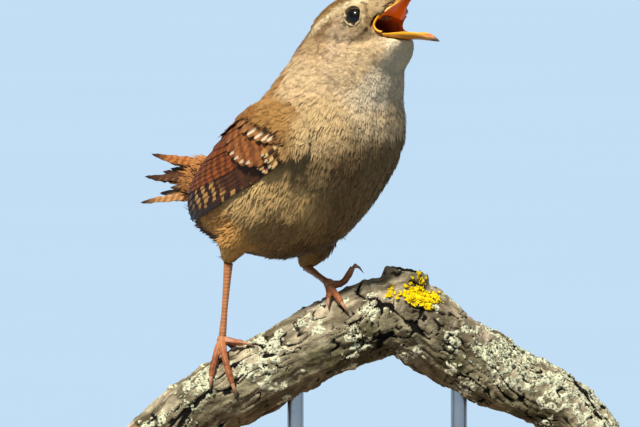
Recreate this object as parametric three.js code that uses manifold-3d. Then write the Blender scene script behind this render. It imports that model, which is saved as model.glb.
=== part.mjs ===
// A wren singing on a short cut length of branch, held on a plain display stand.
// Millimetres, Z up, X to the viewer's right, Y away from the viewer, origin under the middle of the base.
import * as THREE from 'three';
import Module from 'manifold-3d';

const wasm = await Module();
wasm.setup();

// Clearance between neighbouring solids, and how far a cut face may be evened out
const GAP = 0.3;
const EVEN = 0.08;
// Least cosine between a corner's direction and its faces that a clearance follows
const SHARPEST = 0.45;
// Rings of a rounded cap as shares of a quarter turn, and how far back its heading is read
const CAP_TURNS = [0.5, 0.87];
const CAP_LOOK = 0.3;
// Facets round each kind of solid
const FACETS = { mouth: 10, gape: 6, rump: 14, knot: 10, rod: 16, thigh: 12, tarsus: 8, toe: 6, claw: 5 };

// Where the bird's own frame stands: s runs forward along its heading, r to its right side.
// The lean lifts whatever stands nearer to the viewer by that share of the distance.
const BIRD = { x: -5, y: -5, turn: THREE.MathUtils.degToRad(-40), lean: 0.052 };

// Body stations from vent to throat: back edge (s, z), belly edge (s, z), half-width
const BODY_ROWS = [
  [-29, 88, -28, 78.4, 6.5],
  [-27, 92.5, -24.6, 75.4, 10.5],
  [-22.5, 97, -16.5, 72.4, 14.5],
  [-18, 101.5, -5.4, 71, 17],
  [-13, 106, 6.8, 73.4, 18.2],
  [-8.5, 110.5, 17, 81.4, 18.2],
  [-5, 113.5, 24.9, 90.4, 17.6],
  [-2.5, 116.5, 29.2, 99.6, 16.3],
  [-0.8, 119, 29.4, 108, 13.8],
  [1, 121.8, 30.6, 115.5, 11.2],
  [4, 126, 32, 120.6, 8.8],
];
const BODY_RING = 22;
const TRUNK = { end: 8, cap: 1.5, fine: 1.6 };
const NECK = { start: 8.1, seam: 0.05, cap: 2 };

// Skull stations from nape to bill base, and jaw stations from throat to chin tip
const SKULL_ROWS = [
  [4.5, 126, 8, 120, 4],
  [7, 129.6, 14, 117.5, 7.6],
  [10.5, 132.8, 19, 117.8, 8.7],
  [15, 135.3, 23.5, 119.3, 8.7],
  [20, 136.6, 27.5, 122, 7.5],
  [24.8, 136.2, 30.2, 125, 6.5],
  [28.3, 134.6, 31.2, 128.5, 5.4],
  [30, 133.4, 31.4, 130.6, 3.3],
];
const JAW_ROWS = [
  [20.5, 126, 17, 113.5, 5],
  [24, 126.6, 23.5, 113.4, 6.6],
  [27.5, 126.4, 28.6, 114.4, 6.7],
  [30.2, 125.9, 31.4, 117.2, 5.8],
  [32.4, 125.2, 33, 120.4, 4.2],
  [33.7, 124.6, 34, 122.8, 2.2],
];
const HEAD_RING = 14;
const SKULL_ENDS = { capStart: 2, capEnd: 0.6, fine: 1.4 };
const JAW_ENDS = { capStart: 2, capEnd: 0.5, fine: 1.2 };

// Eyes: middle of the visible part on the right side (s, r, z), ball radius and how far the ball stands out
const EYE = { s: 23.1, r: 6.9, z: 129.9, radius: 2.5, proud: 0.75, aim: [0.36, 0.92, 0.14], facets: [12, 8] };
// Ring of skin round the eye: its radius, thickness and depth under the middle of the visible part
const EYE_RING = { radius: 1.95, tube: 0.42, sunk: 0.12, facets: [5, 12] };

// Upper bill: cutting edge (s, r, z) and ridge (s, z) from base to tip
const UPPER_EDGE = [
  [28.6, 4.9, 128.9],
  [29.8, 4.6, 130.1],
  [31.2, 3.2, 131.6],
  [33.2, 2, 133.1],
  [35.6, 1.2, 135.2],
  [38.6, 0.12, 138],
];
const UPPER_RIDGE = [
  [26.4, 131.6],
  [28, 132.8],
  [29.8, 134],
  [32, 135.2],
  [34.9, 136.6],
  [38.4, 138.2],
];
// Lower bill: cutting edge (s, r, z) and keel (s, z) from base to tip
const LOWER_EDGE = [
  [29.6, 4.7, 125.7],
  [32.1, 4.3, 125.7],
  [35.1, 3.6, 126],
  [38.6, 2.4, 125.8],
  [41.4, 1.3, 125],
  [44.1, 0.12, 123.8],
];
const LOWER_KEEL = [
  [29.9, 124.3],
  [32.2, 124.1],
  [35, 124.1],
  [38.3, 124],
  [41.2, 123.7],
  [44, 123.45],
];
// Bill sections as shares of edge half-width and height: outer side first, hollow side last
const BILL_OUTER = [[1, 0], [0.93, 0.4], [0.62, 0.82], [0, 1], [-0.62, 0.82], [-0.93, 0.4], [-1, 0]];
const BILL_HOLLOW = [[-0.74, 0.06], [-0.36, 0.36], [0, 0.42], [0.36, 0.36], [0.74, 0.06]];
const HOLLOW = { upper: 1, lower: 0.9 };
const BILL_STEPS = 7;

// Mouth: side outline of the open wedge (s, z), and the throat stations (s, z, half-width, half-height)
const MOUTH_WEDGE = [
  [27.4, 127.4], [28.3, 129.1], [29.8, 130.3], [31.2, 131.8],
  [45, 145], [45, 126], [34.6, 126.1], [30.4, 125.95],
];
const WEDGE_WIDTH = 24;
const THROAT_ROWS = [
  [30.4, 128.6, 4.6, 2.6],
  [27.4, 127.7, 4.2, 2.6],
  [24, 126.9, 3.2, 2.2],
  [21.2, 126.3, 2.1, 1.6],
  [19.2, 126, 0.8, 0.7],
];
const LINING = { thick: 0.6, open: 1.5 };
const GAPE_LINE = [
  [29.5, 4.9, 130],
  [28.4, 5.2, 128.9],
  [27.9, 5.3, 127.5],
  [28.6, 5.1, 126.4],
  [30.2, 4.8, 125.9],
];
const GAPE_TUBE = 0.45;

// Folded wing on the right side: upper and lower edges (s, z) from shoulder to tip
const WING_UPPER = [
  [12.4, 99.6], [10.6, 104], [5.5, 107.4], [-4, 107], [-12, 103.5], [-20, 97], [-27, 88], [-30.5, 80.6],
];
const WING_LOWER = [
  [12.2, 98.4], [10.6, 93.8], [4.5, 90.4], [-5, 87.2], [-14, 83.6], [-21, 81], [-26, 79.9], [-30.5, 79.6],
];
// Wing sheet: lift over the body, reach of the free tip, its flare and how softly the two meet;
// thickness at the edges and in the middle, how full the middle is and how far it thins toward the tip
const WING = {
  lift: 1.5, tipOut: 6.5, flare: 0.2, tipS: -30, blend: 2.2,
  edge: 0.6, middle: 1.5, full: 0.6, thinning: 0.55,
};
const WING_STEPS = { along: 6, down: 5 };
// Parts of the wing as ranges along it (u) and down it (v), each with its extra lift
const WING_PARTS = {
  coverts: { u: [0, 0.42], v: [0, 1], rise: 0.5 },
  secondaries: { u: [0.435, 0.93], v: [0, 0.56], rise: 0.2 },
  primaries: { u: [0.435, 1], v: [0.6, 1], rise: 0 },
};

// Tail fan: root (s, z), swing to the left, rise and roll in degrees, feather sizes, spread of the quills
const TAIL = {
  s: -24.5, z: 90, swing: 12.4, rise: 1.8, roll: 60, width: 3.3, thick: 0.6, start: 10, quills: 7.2,
  knot: { length: 2, wide: 4.3, high: 1.6 },
};
// Tail feathers from the bird's left edge to its right: turn in the fan, tilt out of it, length
const TAIL_FEATHERS = [
  [-3.5, 3, 29.5], [-5, 4, 31], [-6.5, -2.5, 27.5], [-5, -4.5, 27], [-3.5, -3, 28.5], [1, 2, 31],
  [-0.5, 0.5, 30], [-5, -8.5, 25], [-3, -9, 27], [0, -7, 29], [6.5, -1.5, 31], [-1, -11, 25],
];
// Shape of a tail feather: share of its length, share of its half-width
const TAIL_BLADE = [[0, 0.55], [0.3, 0.85], [0.62, 1], [0.85, 0.72], [1, 0.15]];
// Rump: feathered root of the tail, rows of distance back, half-width and half-height
const RUMP_ROWS = [[-2, 6.6, 4.8], [3, 6.2, 4.2], [6.5, 5.4, 3.1], [9.6, 4.4, 1.9]];

// Legs: hip, knee bulge and heel (s, r, z) with radii, then the ankle over the toes in world X, Y, Z
const LEGS = {
  right: {
    thigh: [[-8, 9.5, 82, 6], [-11, 10, 77.2, 5], [-13.6, 9.9, 72.8, 3], [-14.5, 9.7, 70.4, 1.5]],
    ankle: [-23.9, -3, 51],
  },
  left: {
    thigh: [[-2, -11, 80, 5.6], [-5, -12.3, 75, 4.6], [-8.8, -14, 71.4, 3], [-11, -14.6, 69.5, 1.5]],
    ankle: [2.2, -3.2, 64.8],
  },
};
// Shank from heel to ankle as share and radius, and the pad over the toes
const TARSUS_ROWS = [[0, 1.15], [0.12, 1.1], [0.5, 0.72], [0.85, 0.8], [1, 1.05]];
const PAD_RADIUS = 1.35;
// Toes: end angle round the branch toward the viewer, drift along it, arch, tip raise, claw length and curl
const TOES = {
  right: [
    { end: 78, drift: -2.5, arch: 0.8, raise: 0, claw: 4.5, curl: 1 },
    { end: 54, drift: -5.9, arch: 0.8, raise: 0, claw: 3.4, curl: 1 },
    { end: 30, drift: 4.2, arch: 1, raise: 0.3, claw: 3, curl: 0.8 },
    { end: -44, drift: 1.5, arch: 0.5, raise: 0, claw: 5, curl: 1 },
  ],
  left: [
    { end: 47, drift: 1.2, arch: 0.8, raise: 0, claw: 3.4, curl: 1 },
    { end: 31, drift: -1.6, arch: 0.8, raise: 0.25, claw: 2.8, curl: 0.8 },
    { end: 6, drift: 5.9, arch: 0.2, raise: 3, claw: 3, curl: 3.8 },
    { end: -44, drift: -1, arch: 0.5, raise: 0, claw: 5, curl: 1 },
  ],
};
// Toe radius at root and tip, swelling between joints and steps along it; height at rest over the mean
// bark, share of its length where it lands, steepness of the fall, bow between and spread along the perch
const TOE = {
  thick: 0.92, tip: 0.62, swell: 0.15, steps: 4, rest: 1.3, land: 0.55, fall: 1.3, bow: 0.7, spread: 0.85,
};
// Claw from root to tip as share and radius; its rise at the root and fall toward the tip
const CLAW_ROWS = [[0, 0.52], [0.35, 0.45], [0.7, 0.3], [1, 0.1]];
const CLAW = { rise: 0.28, fall: 0.5 };

// Perch: middle line (x, z) and radius
const PERCH_ROWS = [
  [-41.5, 22.4, 9.2],
  [-24.9, 36.3, 9],
  [-12.2, 43.6, 9],
  [-2.9, 48.9, 9.2],
  [6.6, 53.1, 9.4],
  [13.9, 56.2, 9.6],
  [19.6, 56.8, 9.9],
  [24.9, 54.4, 10.2],
  [33.4, 48.2, 9.1],
  [41.2, 43.6, 8.8],
  [48, 40.4, 8.1],
  [55.4, 36.8, 7.6],
  [62.4, 31.1, 7.6],
  [68, 24.6, 7.6],
];
const PERCH = { along: 24, ring: 14, bump: 0.45 };
// Waves of the bark: turns round the perch, turns along it and share of the bump
const PERCH_WAVES = [[3, 17, 0.5], [5, -41, 0.35], [2, 29, 0.4]];
// Broken stub on the arch: where it stands, its lean in degrees and its profile (radius, height)
const KNOT = {
  at: [19.4, 56], lean: 9, profile: [[0, 0], [7.6, 0], [7, 7.4], [5.4, 12.3], [2.7, 11.4], [0, 11.2]],
};

// Stand: base plate, and rods that enter blind holes in the perch by a depth
const BASE = { length: 112, width: 64, height: 8, corner: 12, chamfer: 1.2 };
const ROD = { radius: 2, meets: 48, places: { left: { x: -6, depth: 5 }, right: { x: 34, depth: 5.5 } } };

// Surface looks
const LOOKS = {
  wood: [0x8a6a48, 0.55, 0], steel: [0xb9bcc0, 0.35, 1], bark: [0x85806f, 0.92, 0],
  breast: [0xb9a285, 0.85, 0], crown: [0x8d6b4b, 0.85, 0], rump: [0x8f5f38, 0.85, 0],
  wing: [0x8a552c, 0.8, 0], tail: [0xa0602c, 0.8, 0], eye: [0x14100e, 0.08, 0],
  billTop: [0x6b4a2a, 0.4, 0], billLow: [0xd8902f, 0.4, 0], gape: [0xe7b54a, 0.45, 0],
  mouth: [0xc8642c, 0.5, 0], leg: [0xb3744c, 0.55, 0], claw: [0x5b4a3c, 0.4, 0],
};

const part = new THREE.Group();
part.name = 'wren_on_perch';

/** A point of the bird's frame in the world. */
function at(s, r, z) {
  const cos = Math.cos(BIRD.turn);
  const sin = Math.sin(BIRD.turn);
  const away = s * sin - r * cos;
  return new THREE.Vector3(BIRD.x + s * cos + r * sin, BIRD.y + away, z - away * BIRD.lean);
}

/** A direction of the bird's frame in the world. */
function along(s, r, z) {
  return at(s, r, z).sub(at(0, 0, 0));
}

/** A smooth function of the row number through each row's numbers. */
function smoothRows(rows) {
  const curves = [];
  for (let first = 0; first < rows[0].length; first += 3) {
    const points = rows.map((row) => new THREE.Vector3(row[first], row[first + 1] ?? 0, row[first + 2] ?? 0));
    curves.push(new THREE.CatmullRomCurve3(points, false, 'catmullrom', 0.5));
  }
  return (t) => curves.flatMap((curve) => curve.getPoint(t / (rows.length - 1)).toArray());
}

/** Evenly stepped numbers from one value to another, both included. */
function steps(from, to, count) {
  return Array.from({ length: count + 1 }, (_, i) => from + ((to - from) * i) / count);
}

/** Geometry of a skin through closed rings of equal length, with flat ends. */
function skin(rings) {
  const size = rings[0].length;
  const points = rings.flat();
  const faces = [];
  for (let i = 0; i + 1 < rings.length; i += 1) {
    for (let k = 0; k < size; k += 1) {
      const next = (k + 1) % size;
      const [a, b, c, d] = [i * size + k, i * size + next, (i + 1) * size + next, (i + 1) * size + k];
      faces.push(a, b, c, a, c, d);
    }
  }
  for (const [ring, flip] of [[0, true], [rings.length - 1, false]]) {
    const middle = new THREE.Vector3();
    rings[ring].forEach((point) => middle.addScaledVector(point, 1 / size));
    points.push(middle);
    for (let k = 0; k < size; k += 1) {
      const pair = [ring * size + k, ring * size + ((k + 1) % size)];
      faces.push(...(flip ? pair.reverse() : pair), points.length - 1);
    }
  }
  return new THREE.BufferGeometry().setFromPoints(points).setIndex(faces);
}

/** Closed solid of a geometry: corners merged, slivers dropped, faces turned outward. */
function solidOf(geometry) {
  const position = geometry.getAttribute('position');
  const index = geometry.getIndex();
  const known = new Map();
  const vertices = [];
  const corner = (i) => {
    const xyz = [position.getX(i), position.getY(i), position.getZ(i)];
    const key = xyz.map((value) => Math.round(value * 1e4)).join();
    if (!known.has(key)) {
      known.set(key, vertices.length / 3);
      vertices.push(...xyz);
    }
    return known.get(key);
  };
  const faces = [];
  let volume = 0;
  const count = index ? index.count : position.count;
  for (let i = 0; i < count; i += 3) {
    const [a, b, c] = [0, 1, 2].map((k) => corner(index ? index.getX(i + k) : i + k));
    if (a === b || b === c || c === a) continue;
    faces.push(a, b, c);
    const [p, q, w] = [a, b, c].map((v) => new THREE.Vector3().fromArray(vertices, v * 3));
    volume += p.dot(q.cross(w));
  }
  const ordered = volume < 0 ? faces.reverse() : faces;
  return new wasm.Manifold(new wasm.Mesh({
    numProp: 3, vertProperties: new Float32Array(vertices), triVerts: new Uint32Array(ordered),
  }));
}

/** Geometry of a solid. */
function geometryOf(solid) {
  const mesh = solid.getMesh();
  const geometry = new THREE.BufferGeometry();
  geometry.setAttribute('position', new THREE.BufferAttribute(new Float32Array(mesh.vertProperties), 3));
  geometry.setIndex(new THREE.BufferAttribute(new Uint32Array(mesh.triVerts), 1));
  geometry.computeVertexNormals();
  return geometry;
}

/** The same solid with its faces moved outward by an amount, for a clearance. */
function grown(solid, amount = GAP) {
  const geometry = geometryOf(solid);
  const position = geometry.getAttribute('position');
  const normal = geometry.getAttribute('normal');
  const index = geometry.getIndex();
  const corner = (i) => new THREE.Vector3().fromBufferAttribute(position, i);
  const least = new Float32Array(position.count).fill(1);
  for (let i = 0; i < index.count; i += 3) {
    const ids = [0, 1, 2].map((k) => index.getX(i + k));
    const [a, b, c] = ids.map(corner);
    const face = b.sub(a).cross(c.sub(a)).normalize();
    ids.forEach((id) => {
      least[id] = Math.min(least[id], face.dot(new THREE.Vector3().fromBufferAttribute(normal, id)));
    });
  }
  for (let i = 0; i < position.count; i += 1) {
    const out = new THREE.Vector3().fromBufferAttribute(normal, i);
    const moved = corner(i).addScaledVector(out, amount / Math.max(SHARPEST, least[i]));
    position.setXYZ(i, moved.x, moved.y, moved.z);
  }
  return solidOf(geometry);
}

/** The biggest single body of a solid. */
function oneBody(solid) {
  return solid.decompose().reduce((big, other) => (other.volume() > big.volume() ? other : big));
}

/** All solids joined. */
function joined(solids) {
  return solids.reduce((sum, next) => sum.add(next));
}

/** A solid less several others, kept as one body with its smallest facets merged. */
function cut(solid, cutters) {
  return oneBody(cutters.reduce((rest, cutter) => rest.subtract(cutter), solid).simplify(EVEN));
}

/** Adds a named mesh with its own material to the part. */
function place(name, solid, look) {
  const [color, roughness, metalness] = LOOKS[look];
  const mesh = new THREE.Mesh(
    geometryOf(solid),
    new THREE.MeshStandardMaterial({ color, roughness, metalness }),
  );
  mesh.name = name;
  part.add(mesh);
}

/** Ring of a profile station: an oval between its back and belly edges. */
function profileRing(station, count, grow = 0) {
  const [backS, backZ, frontS, frontZ, width] = station;
  const middle = [(backS + frontS) / 2, (backZ + frontZ) / 2];
  const half = [(backS - frontS) / 2, (backZ - frontZ) / 2];
  const stretch = 1 + grow / Math.hypot(...half);
  return steps(0, 2 * Math.PI, count).slice(0, count).map((angle) => at(
    middle[0] + half[0] * stretch * Math.sin(angle),
    (width + grow) * Math.cos(angle),
    middle[1] + half[1] * stretch * Math.sin(angle),
  ));
}

/** Solid of a run of profile stations, with a rounded cap at either end where asked. */
function profileSolid(rows, from, to, count, { grow = 0, capStart = 0, capEnd = 0, fine = 2 } = {}) {
  const station = smoothRows(rows);
  const stations = steps(from, to, Math.ceil((to - from) * fine)).map(station);
  const rings = stations.map((row) => profileRing(row, count, grow));
  const cap = (ring, away) => {
    const middle = new THREE.Vector3();
    ring.forEach((point) => middle.addScaledVector(point, 1 / count));
    return CAP_TURNS.map((turn) => (turn * Math.PI) / 2).map((angle) => ring.map((point) => (
      middle.clone().lerp(point, Math.cos(angle)).addScaledVector(away, Math.sin(angle))
    )));
  };
  const middleOf = (t) => {
    const [bs, bz, fs, fz] = station(t);
    return at((bs + fs) / 2, 0, (bz + fz) / 2);
  };
  const heading = (t, back) => middleOf(t).sub(middleOf(back)).normalize();
  if (capEnd > 0) {
    rings.push(...cap(rings[rings.length - 1], heading(to, to - CAP_LOOK).multiplyScalar(capEnd)));
  }
  if (capStart > 0) {
    rings.unshift(...cap(rings[0], heading(from, from + CAP_LOOK).multiplyScalar(capStart)).reverse());
  }
  return solidOf(skin(rings));
}

/** Half-width of the body at a point of its side view. */
const bodyStation = smoothRows(BODY_ROWS);
function bodyHalfWidth(s, z) {
  const side = (t) => {
    const [bs, bz, fs, fz] = bodyStation(t);
    return (bs - fs) * (z - fz) - (bz - fz) * (s - fs);
  };
  let [low, high] = [0, BODY_ROWS.length - 1];
  const lowSign = Math.sign(side(low));
  if (lowSign === Math.sign(side(high))) return 0;
  for (let i = 0; i < 24; i += 1) {
    const t = (low + high) / 2;
    if (Math.sign(side(t)) === lowSign) low = t;
    else high = t;
  }
  const [bs, bz, fs, fz, width] = bodyStation(low);
  const share = ((s - fs) * (bs - fs) + (z - fz) * (bz - fz)) / ((bs - fs) ** 2 + (bz - fz) ** 2);
  return width * Math.sqrt(Math.max(0, 1 - (2 * share - 1) ** 2));
}

/** Solid of round or oval sections on points, each [point, across, up]. */
function sectionSolid(sections, count) {
  return solidOf(skin(sections.map(([point, across, up]) => (
    steps(0, 2 * Math.PI, count).slice(0, count).map((angle) => (
      point.clone().addScaledVector(across, Math.cos(angle)).addScaledVector(up, Math.sin(angle))
    ))
  ))));
}

/** Solid of a round limb through points with a radius at each. */
function limb(points, radii, count, total = (points.length - 1) * 2) {
  const curve = new THREE.CatmullRomCurve3(points, false, 'centripetal');
  const seed = new THREE.Vector3(0.31, -0.9, 0.3);
  const radiusAt = smoothRows(radii.map((radius) => [radius]));
  return sectionSolid(steps(0, 1, total).map((t) => {
    const heading = curve.getTangent(t);
    const across = new THREE.Vector3().crossVectors(heading, seed).normalize();
    const up = new THREE.Vector3().crossVectors(heading, across);
    const radius = radiusAt(t * (radii.length - 1))[0];
    return [curve.getPoint(t), across.multiplyScalar(radius), up.multiplyScalar(radius)];
  }), count);
}

/** Solid of oval sections of the bird's frame from rows of s, z, half-width, half-height. */
function ovalSolid(rows, count, { shrink = 0, fine = 2 } = {}) {
  const row = smoothRows(rows);
  return sectionSolid(steps(0, rows.length - 1, (rows.length - 1) * fine).map((t) => {
    const [s, z, wide, high] = row(t);
    return [
      at(s, 0, z),
      along(0, Math.max(0.1, wide - shrink), 0),
      along(0, 0, Math.max(0.1, high - shrink)),
    ];
  }), count);
}

// Stand
const plate = new THREE.Shape();
const [cornerX, cornerY] = [BASE.length / 2 - BASE.corner, BASE.width / 2 - BASE.corner];
[[1, -1], [1, 1], [-1, 1], [-1, -1]].forEach(([x, y], quarter) => {
  const start = ((quarter - 1) * Math.PI) / 2;
  plate.absarc(x * cornerX, y * cornerY, BASE.corner, start, start + Math.PI / 2);
});
const plateGeometry = new THREE.ExtrudeGeometry(plate, {
  depth: BASE.height - 2 * BASE.chamfer, bevelThickness: BASE.chamfer, bevelSize: BASE.chamfer,
  bevelOffset: -BASE.chamfer, bevelSegments: 1, curveSegments: 4,
}).translate(0, 0, BASE.chamfer);
place('stand_base', solidOf(plateGeometry), 'wood');

// Perch: oval rings of rough bark round the middle line
const perchLine = new THREE.CatmullRomCurve3(
  PERCH_ROWS.map(([x, z]) => new THREE.Vector3(x, 0, z)), false, 'centripetal',
);
const perchLength = perchLine.getLength();
const perchRadius = smoothRows(PERCH_ROWS.map((row) => [row[2]]));

/** Radius of the perch at a share of its middle line, from the row nearest in arc length. */
function perchRadiusAt(share) {
  return perchRadius(perchLine.getUtoTmapping(share) * (PERCH_ROWS.length - 1))[0];
}

/** A point on or over the perch: share along it, angle from its top toward the viewer, height over it. */
function perchPoint(share, angle, height = 0) {
  const heading = perchLine.getTangentAt(THREE.MathUtils.clamp(share, 0, 1));
  const up = new THREE.Vector3(-heading.z, 0, heading.x);
  const reach = perchRadiusAt(share) + height;
  return perchLine.getPointAt(share)
    .addScaledVector(up, reach * Math.cos(angle))
    .add(new THREE.Vector3(0, -reach * Math.sin(angle), 0));
}

/** Share along the perch whose middle line is nearest to a place in X and Z. */
function perchShare(x, z) {
  return steps(0, 1, 400).reduce((best, share) => {
    const gapTo = (u) => Math.hypot(perchLine.getPointAt(u).x - x, perchLine.getPointAt(u).z - z);
    return gapTo(share) < gapTo(best) ? share : best;
  }, 0);
}

const barkRings = steps(0, 1, PERCH.along).map((share) => (
  steps(0, 2 * Math.PI, PERCH.ring).slice(0, PERCH.ring).map((angle) => {
    const bump = PERCH_WAVES.reduce(
      (sum, [round, forward, size]) => sum + Math.sin(round * angle + forward * share) * size, 0,
    );
    return perchPoint(share, angle, PERCH.bump * bump);
  })
));
const knot = new THREE.LatheGeometry(KNOT.profile.map((row) => new THREE.Vector2(...row)), FACETS.knot)
  .rotateX(Math.PI / 2)
  .rotateY(THREE.MathUtils.degToRad(KNOT.lean))
  .translate(KNOT.at[0], 0, KNOT.at[1]);
const rodHoles = [];
for (const [side, { x, depth }] of Object.entries(ROD.places)) {
  const top = perchPoint(perchShare(x, ROD.meets), Math.PI).z + depth;
  const rodOf = (radius, low, high) => solidOf(
    new THREE.CylinderGeometry(radius, radius, high - low, FACETS.rod)
      .rotateX(Math.PI / 2).translate(x, 0, (low + high) / 2),
  );
  place(`stand_rod_${side}`, rodOf(ROD.radius, BASE.height, top), 'steel');
  rodHoles.push(rodOf(ROD.radius + GAP, BASE.height, top + GAP));
}
const perch = cut(solidOf(skin(barkRings)).add(solidOf(knot)), rodHoles);
place('perch', perch, 'bark');
const perchRoom = grown(perch);

// Body, neck and the root of the tail
const trunk = profileSolid(BODY_ROWS, 0, TRUNK.end, BODY_RING, { capStart: TRUNK.cap, fine: TRUNK.fine });
const trunkRoom = profileSolid(
  BODY_ROWS, 0, TRUNK.end, BODY_RING, { grow: GAP, capStart: TRUNK.cap + GAP, fine: TRUNK.fine },
);
const neckTop = BODY_ROWS.length - 1;
const neck = profileSolid(BODY_ROWS, NECK.start, neckTop, BODY_RING, { capEnd: NECK.cap });
const neckRoom = profileSolid(
  BODY_ROWS, NECK.start - NECK.seam, neckTop, BODY_RING, { grow: GAP, capEnd: NECK.cap + GAP },
);
place('trunk', trunk, 'breast');
place('neck', neck, 'breast');

// Rump and tail: a rolled fan of blades behind a feathered root
const [tailSwing, tailRise, tailRoll] = [TAIL.swing, TAIL.rise, TAIL.roll].map(THREE.MathUtils.degToRad);
const tailBack = along(
  -Math.cos(tailSwing) * Math.cos(tailRise), -Math.sin(tailSwing) * Math.cos(tailRise), Math.sin(tailRise),
).normalize();
const tailAcross = along(0, Math.cos(tailRoll), -Math.sin(tailRoll));
tailAcross.addScaledVector(tailBack, -tailAcross.dot(tailBack)).normalize();
const tailFace = new THREE.Vector3().crossVectors(tailBack, tailAcross);
const tailRoot = at(TAIL.s, 0, TAIL.z);
const rump = cut(sectionSolid(RUMP_ROWS.map(([back, wide, high]) => [
  tailRoot.clone().addScaledVector(tailBack, back),
  tailAcross.clone().multiplyScalar(wide),
  tailFace.clone().multiplyScalar(high),
]), FACETS.rump), [trunkRoom]);
place('rump', rump, 'rump');
const blades = TAIL_FEATHERS.map(([fan, tilt, length], index) => {
  const [turn, lift] = [fan, tilt].map(THREE.MathUtils.degToRad);
  const quill = tailRoot.clone()
    .addScaledVector(tailAcross, (index / (TAIL_FEATHERS.length - 1) - 0.5) * TAIL.quills);
  const heading = tailBack.clone().multiplyScalar(Math.cos(turn)).addScaledVector(tailAcross, Math.sin(turn))
    .multiplyScalar(Math.cos(lift)).addScaledVector(tailFace, Math.sin(lift));
  const side = new THREE.Vector3().crossVectors(heading, tailFace).normalize();
  const up = new THREE.Vector3().crossVectors(side, heading).multiplyScalar(TAIL.thick / 2);
  return solidOf(skin(TAIL_BLADE.map(([far, wide]) => {
    const middle = quill.clone().addScaledVector(heading, THREE.MathUtils.lerp(TAIL.start, length, far));
    const reach = side.clone().multiplyScalar(wide * TAIL.width * 0.5);
    return [[-1, -1], [-1, 1], [1, 1], [1, -1]].map(([across, high]) => (
      middle.clone().addScaledVector(reach, across).addScaledVector(up, high)
    ));
  })));
});
const tailKnot = sectionSolid([TAIL.start, TAIL.start + TAIL.knot.length].map((back) => [
  tailRoot.clone().addScaledVector(tailBack, back),
  tailAcross.clone().multiplyScalar(TAIL.knot.wide),
  tailFace.clone().multiplyScalar(TAIL.knot.high),
]), FACETS.knot);
const tail = cut(joined([tailKnot, ...blades]), [grown(rump)]);
place('tail', tail, 'tail');
const tailRoom = grown(tail);

// Wings: sheets lying on the body, in three parts on each side
const wingUpper = smoothRows(WING_UPPER);
const wingLower = smoothRows(WING_LOWER);

/** A point on the wing's outer or inner face in the bird's frame. */
function wingPoint(u, v, rise, side, outer) {
  const t = u * (WING_UPPER.length - 1);
  const [upper, lower] = [wingUpper(t), wingLower(t)];
  const s = THREE.MathUtils.lerp(upper[0], lower[0], v);
  const z = THREE.MathUtils.lerp(upper[1], lower[1], v);
  const onBody = bodyHalfWidth(s, z) + WING.lift;
  const free = WING.tipOut + WING.flare * (s - WING.tipS);
  const reach = (onBody + free + Math.sqrt((onBody - free) ** 2 + WING.blend ** 2)) / 2;
  const crown = Math.sin(Math.PI * Math.min(1, Math.max(0, v))) ** WING.full;
  const thick = THREE.MathUtils.lerp(WING.edge, WING.middle, crown * (1 - WING.thinning * u)) + rise;
  return at(s, side * (reach + rise - (outer ? 0 : thick)), z);
}

for (const [sideName, side] of [['right', 1], ['left', -1]]) {
  for (const [name, { u, v, rise }] of Object.entries(WING_PARTS)) {
    const across = steps(v[0], v[1], WING_STEPS.down);
    const rings = steps(u[0], u[1], WING_STEPS.along).map((share) => [
      ...across.map((w) => wingPoint(share, w, rise, side, true)),
      ...across.toReversed().map((w) => wingPoint(share, w, rise, side, false)),
    ]);
    const wingPart = cut(solidOf(skin(rings)), [trunkRoom, tailRoom, grown(rump)]);
    place(`wing_${name}_${sideName}`, wingPart, 'wing');
  }
}

// Eyes
const eyes = [1, -1].map((side) => {
  const aim = along(EYE.aim[0], side * EYE.aim[1], EYE.aim[2]).normalize();
  const middle = at(EYE.s, side * EYE.r, EYE.z).addScaledVector(aim, EYE.proud - EYE.radius);
  const turn = new THREE.Quaternion().setFromUnitVectors(new THREE.Vector3(0, 0, 1), aim);
  const ball = (radius) => solidOf(
    new THREE.SphereGeometry(radius, ...EYE.facets).rotateX(Math.PI / 2).applyQuaternion(turn)
      .translate(middle.x, middle.y, middle.z),
  );
  const lidAt = at(EYE.s, side * EYE.r, EYE.z).addScaledVector(aim, -EYE_RING.sunk);
  const lid = solidOf(
    new THREE.TorusGeometry(EYE_RING.radius, EYE_RING.tube, ...EYE_RING.facets).applyQuaternion(turn)
      .translate(lidAt.x, lidAt.y, lidAt.z),
  );
  return { side, ball: ball(EYE.radius), room: ball(EYE.radius + GAP), lid };
});

// Bill: each half a trough between its cutting edges and its ridge or keel
function billSolid(edges, ridges, hollow) {
  const edge = smoothRows(edges);
  const ridge = smoothRows(ridges);
  const rings = steps(0, edges.length - 1, BILL_STEPS).map((t) => {
    const [s, r, z] = edge(t);
    const [ridgeS, ridgeZ] = ridge(t);
    const inner = BILL_HOLLOW.map(([wide, high]) => [wide, high * hollow]);
    return [...BILL_OUTER, ...inner].map(([wide, high]) => (
      at(THREE.MathUtils.lerp(s, ridgeS, high), wide * r, THREE.MathUtils.lerp(z, ridgeZ, high))
    ));
  });
  return solidOf(skin(rings));
}
const billUpper = billSolid(UPPER_EDGE, UPPER_RIDGE, HOLLOW.upper);
const billLower = billSolid(LOWER_EDGE, LOWER_KEEL, HOLLOW.lower);

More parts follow.
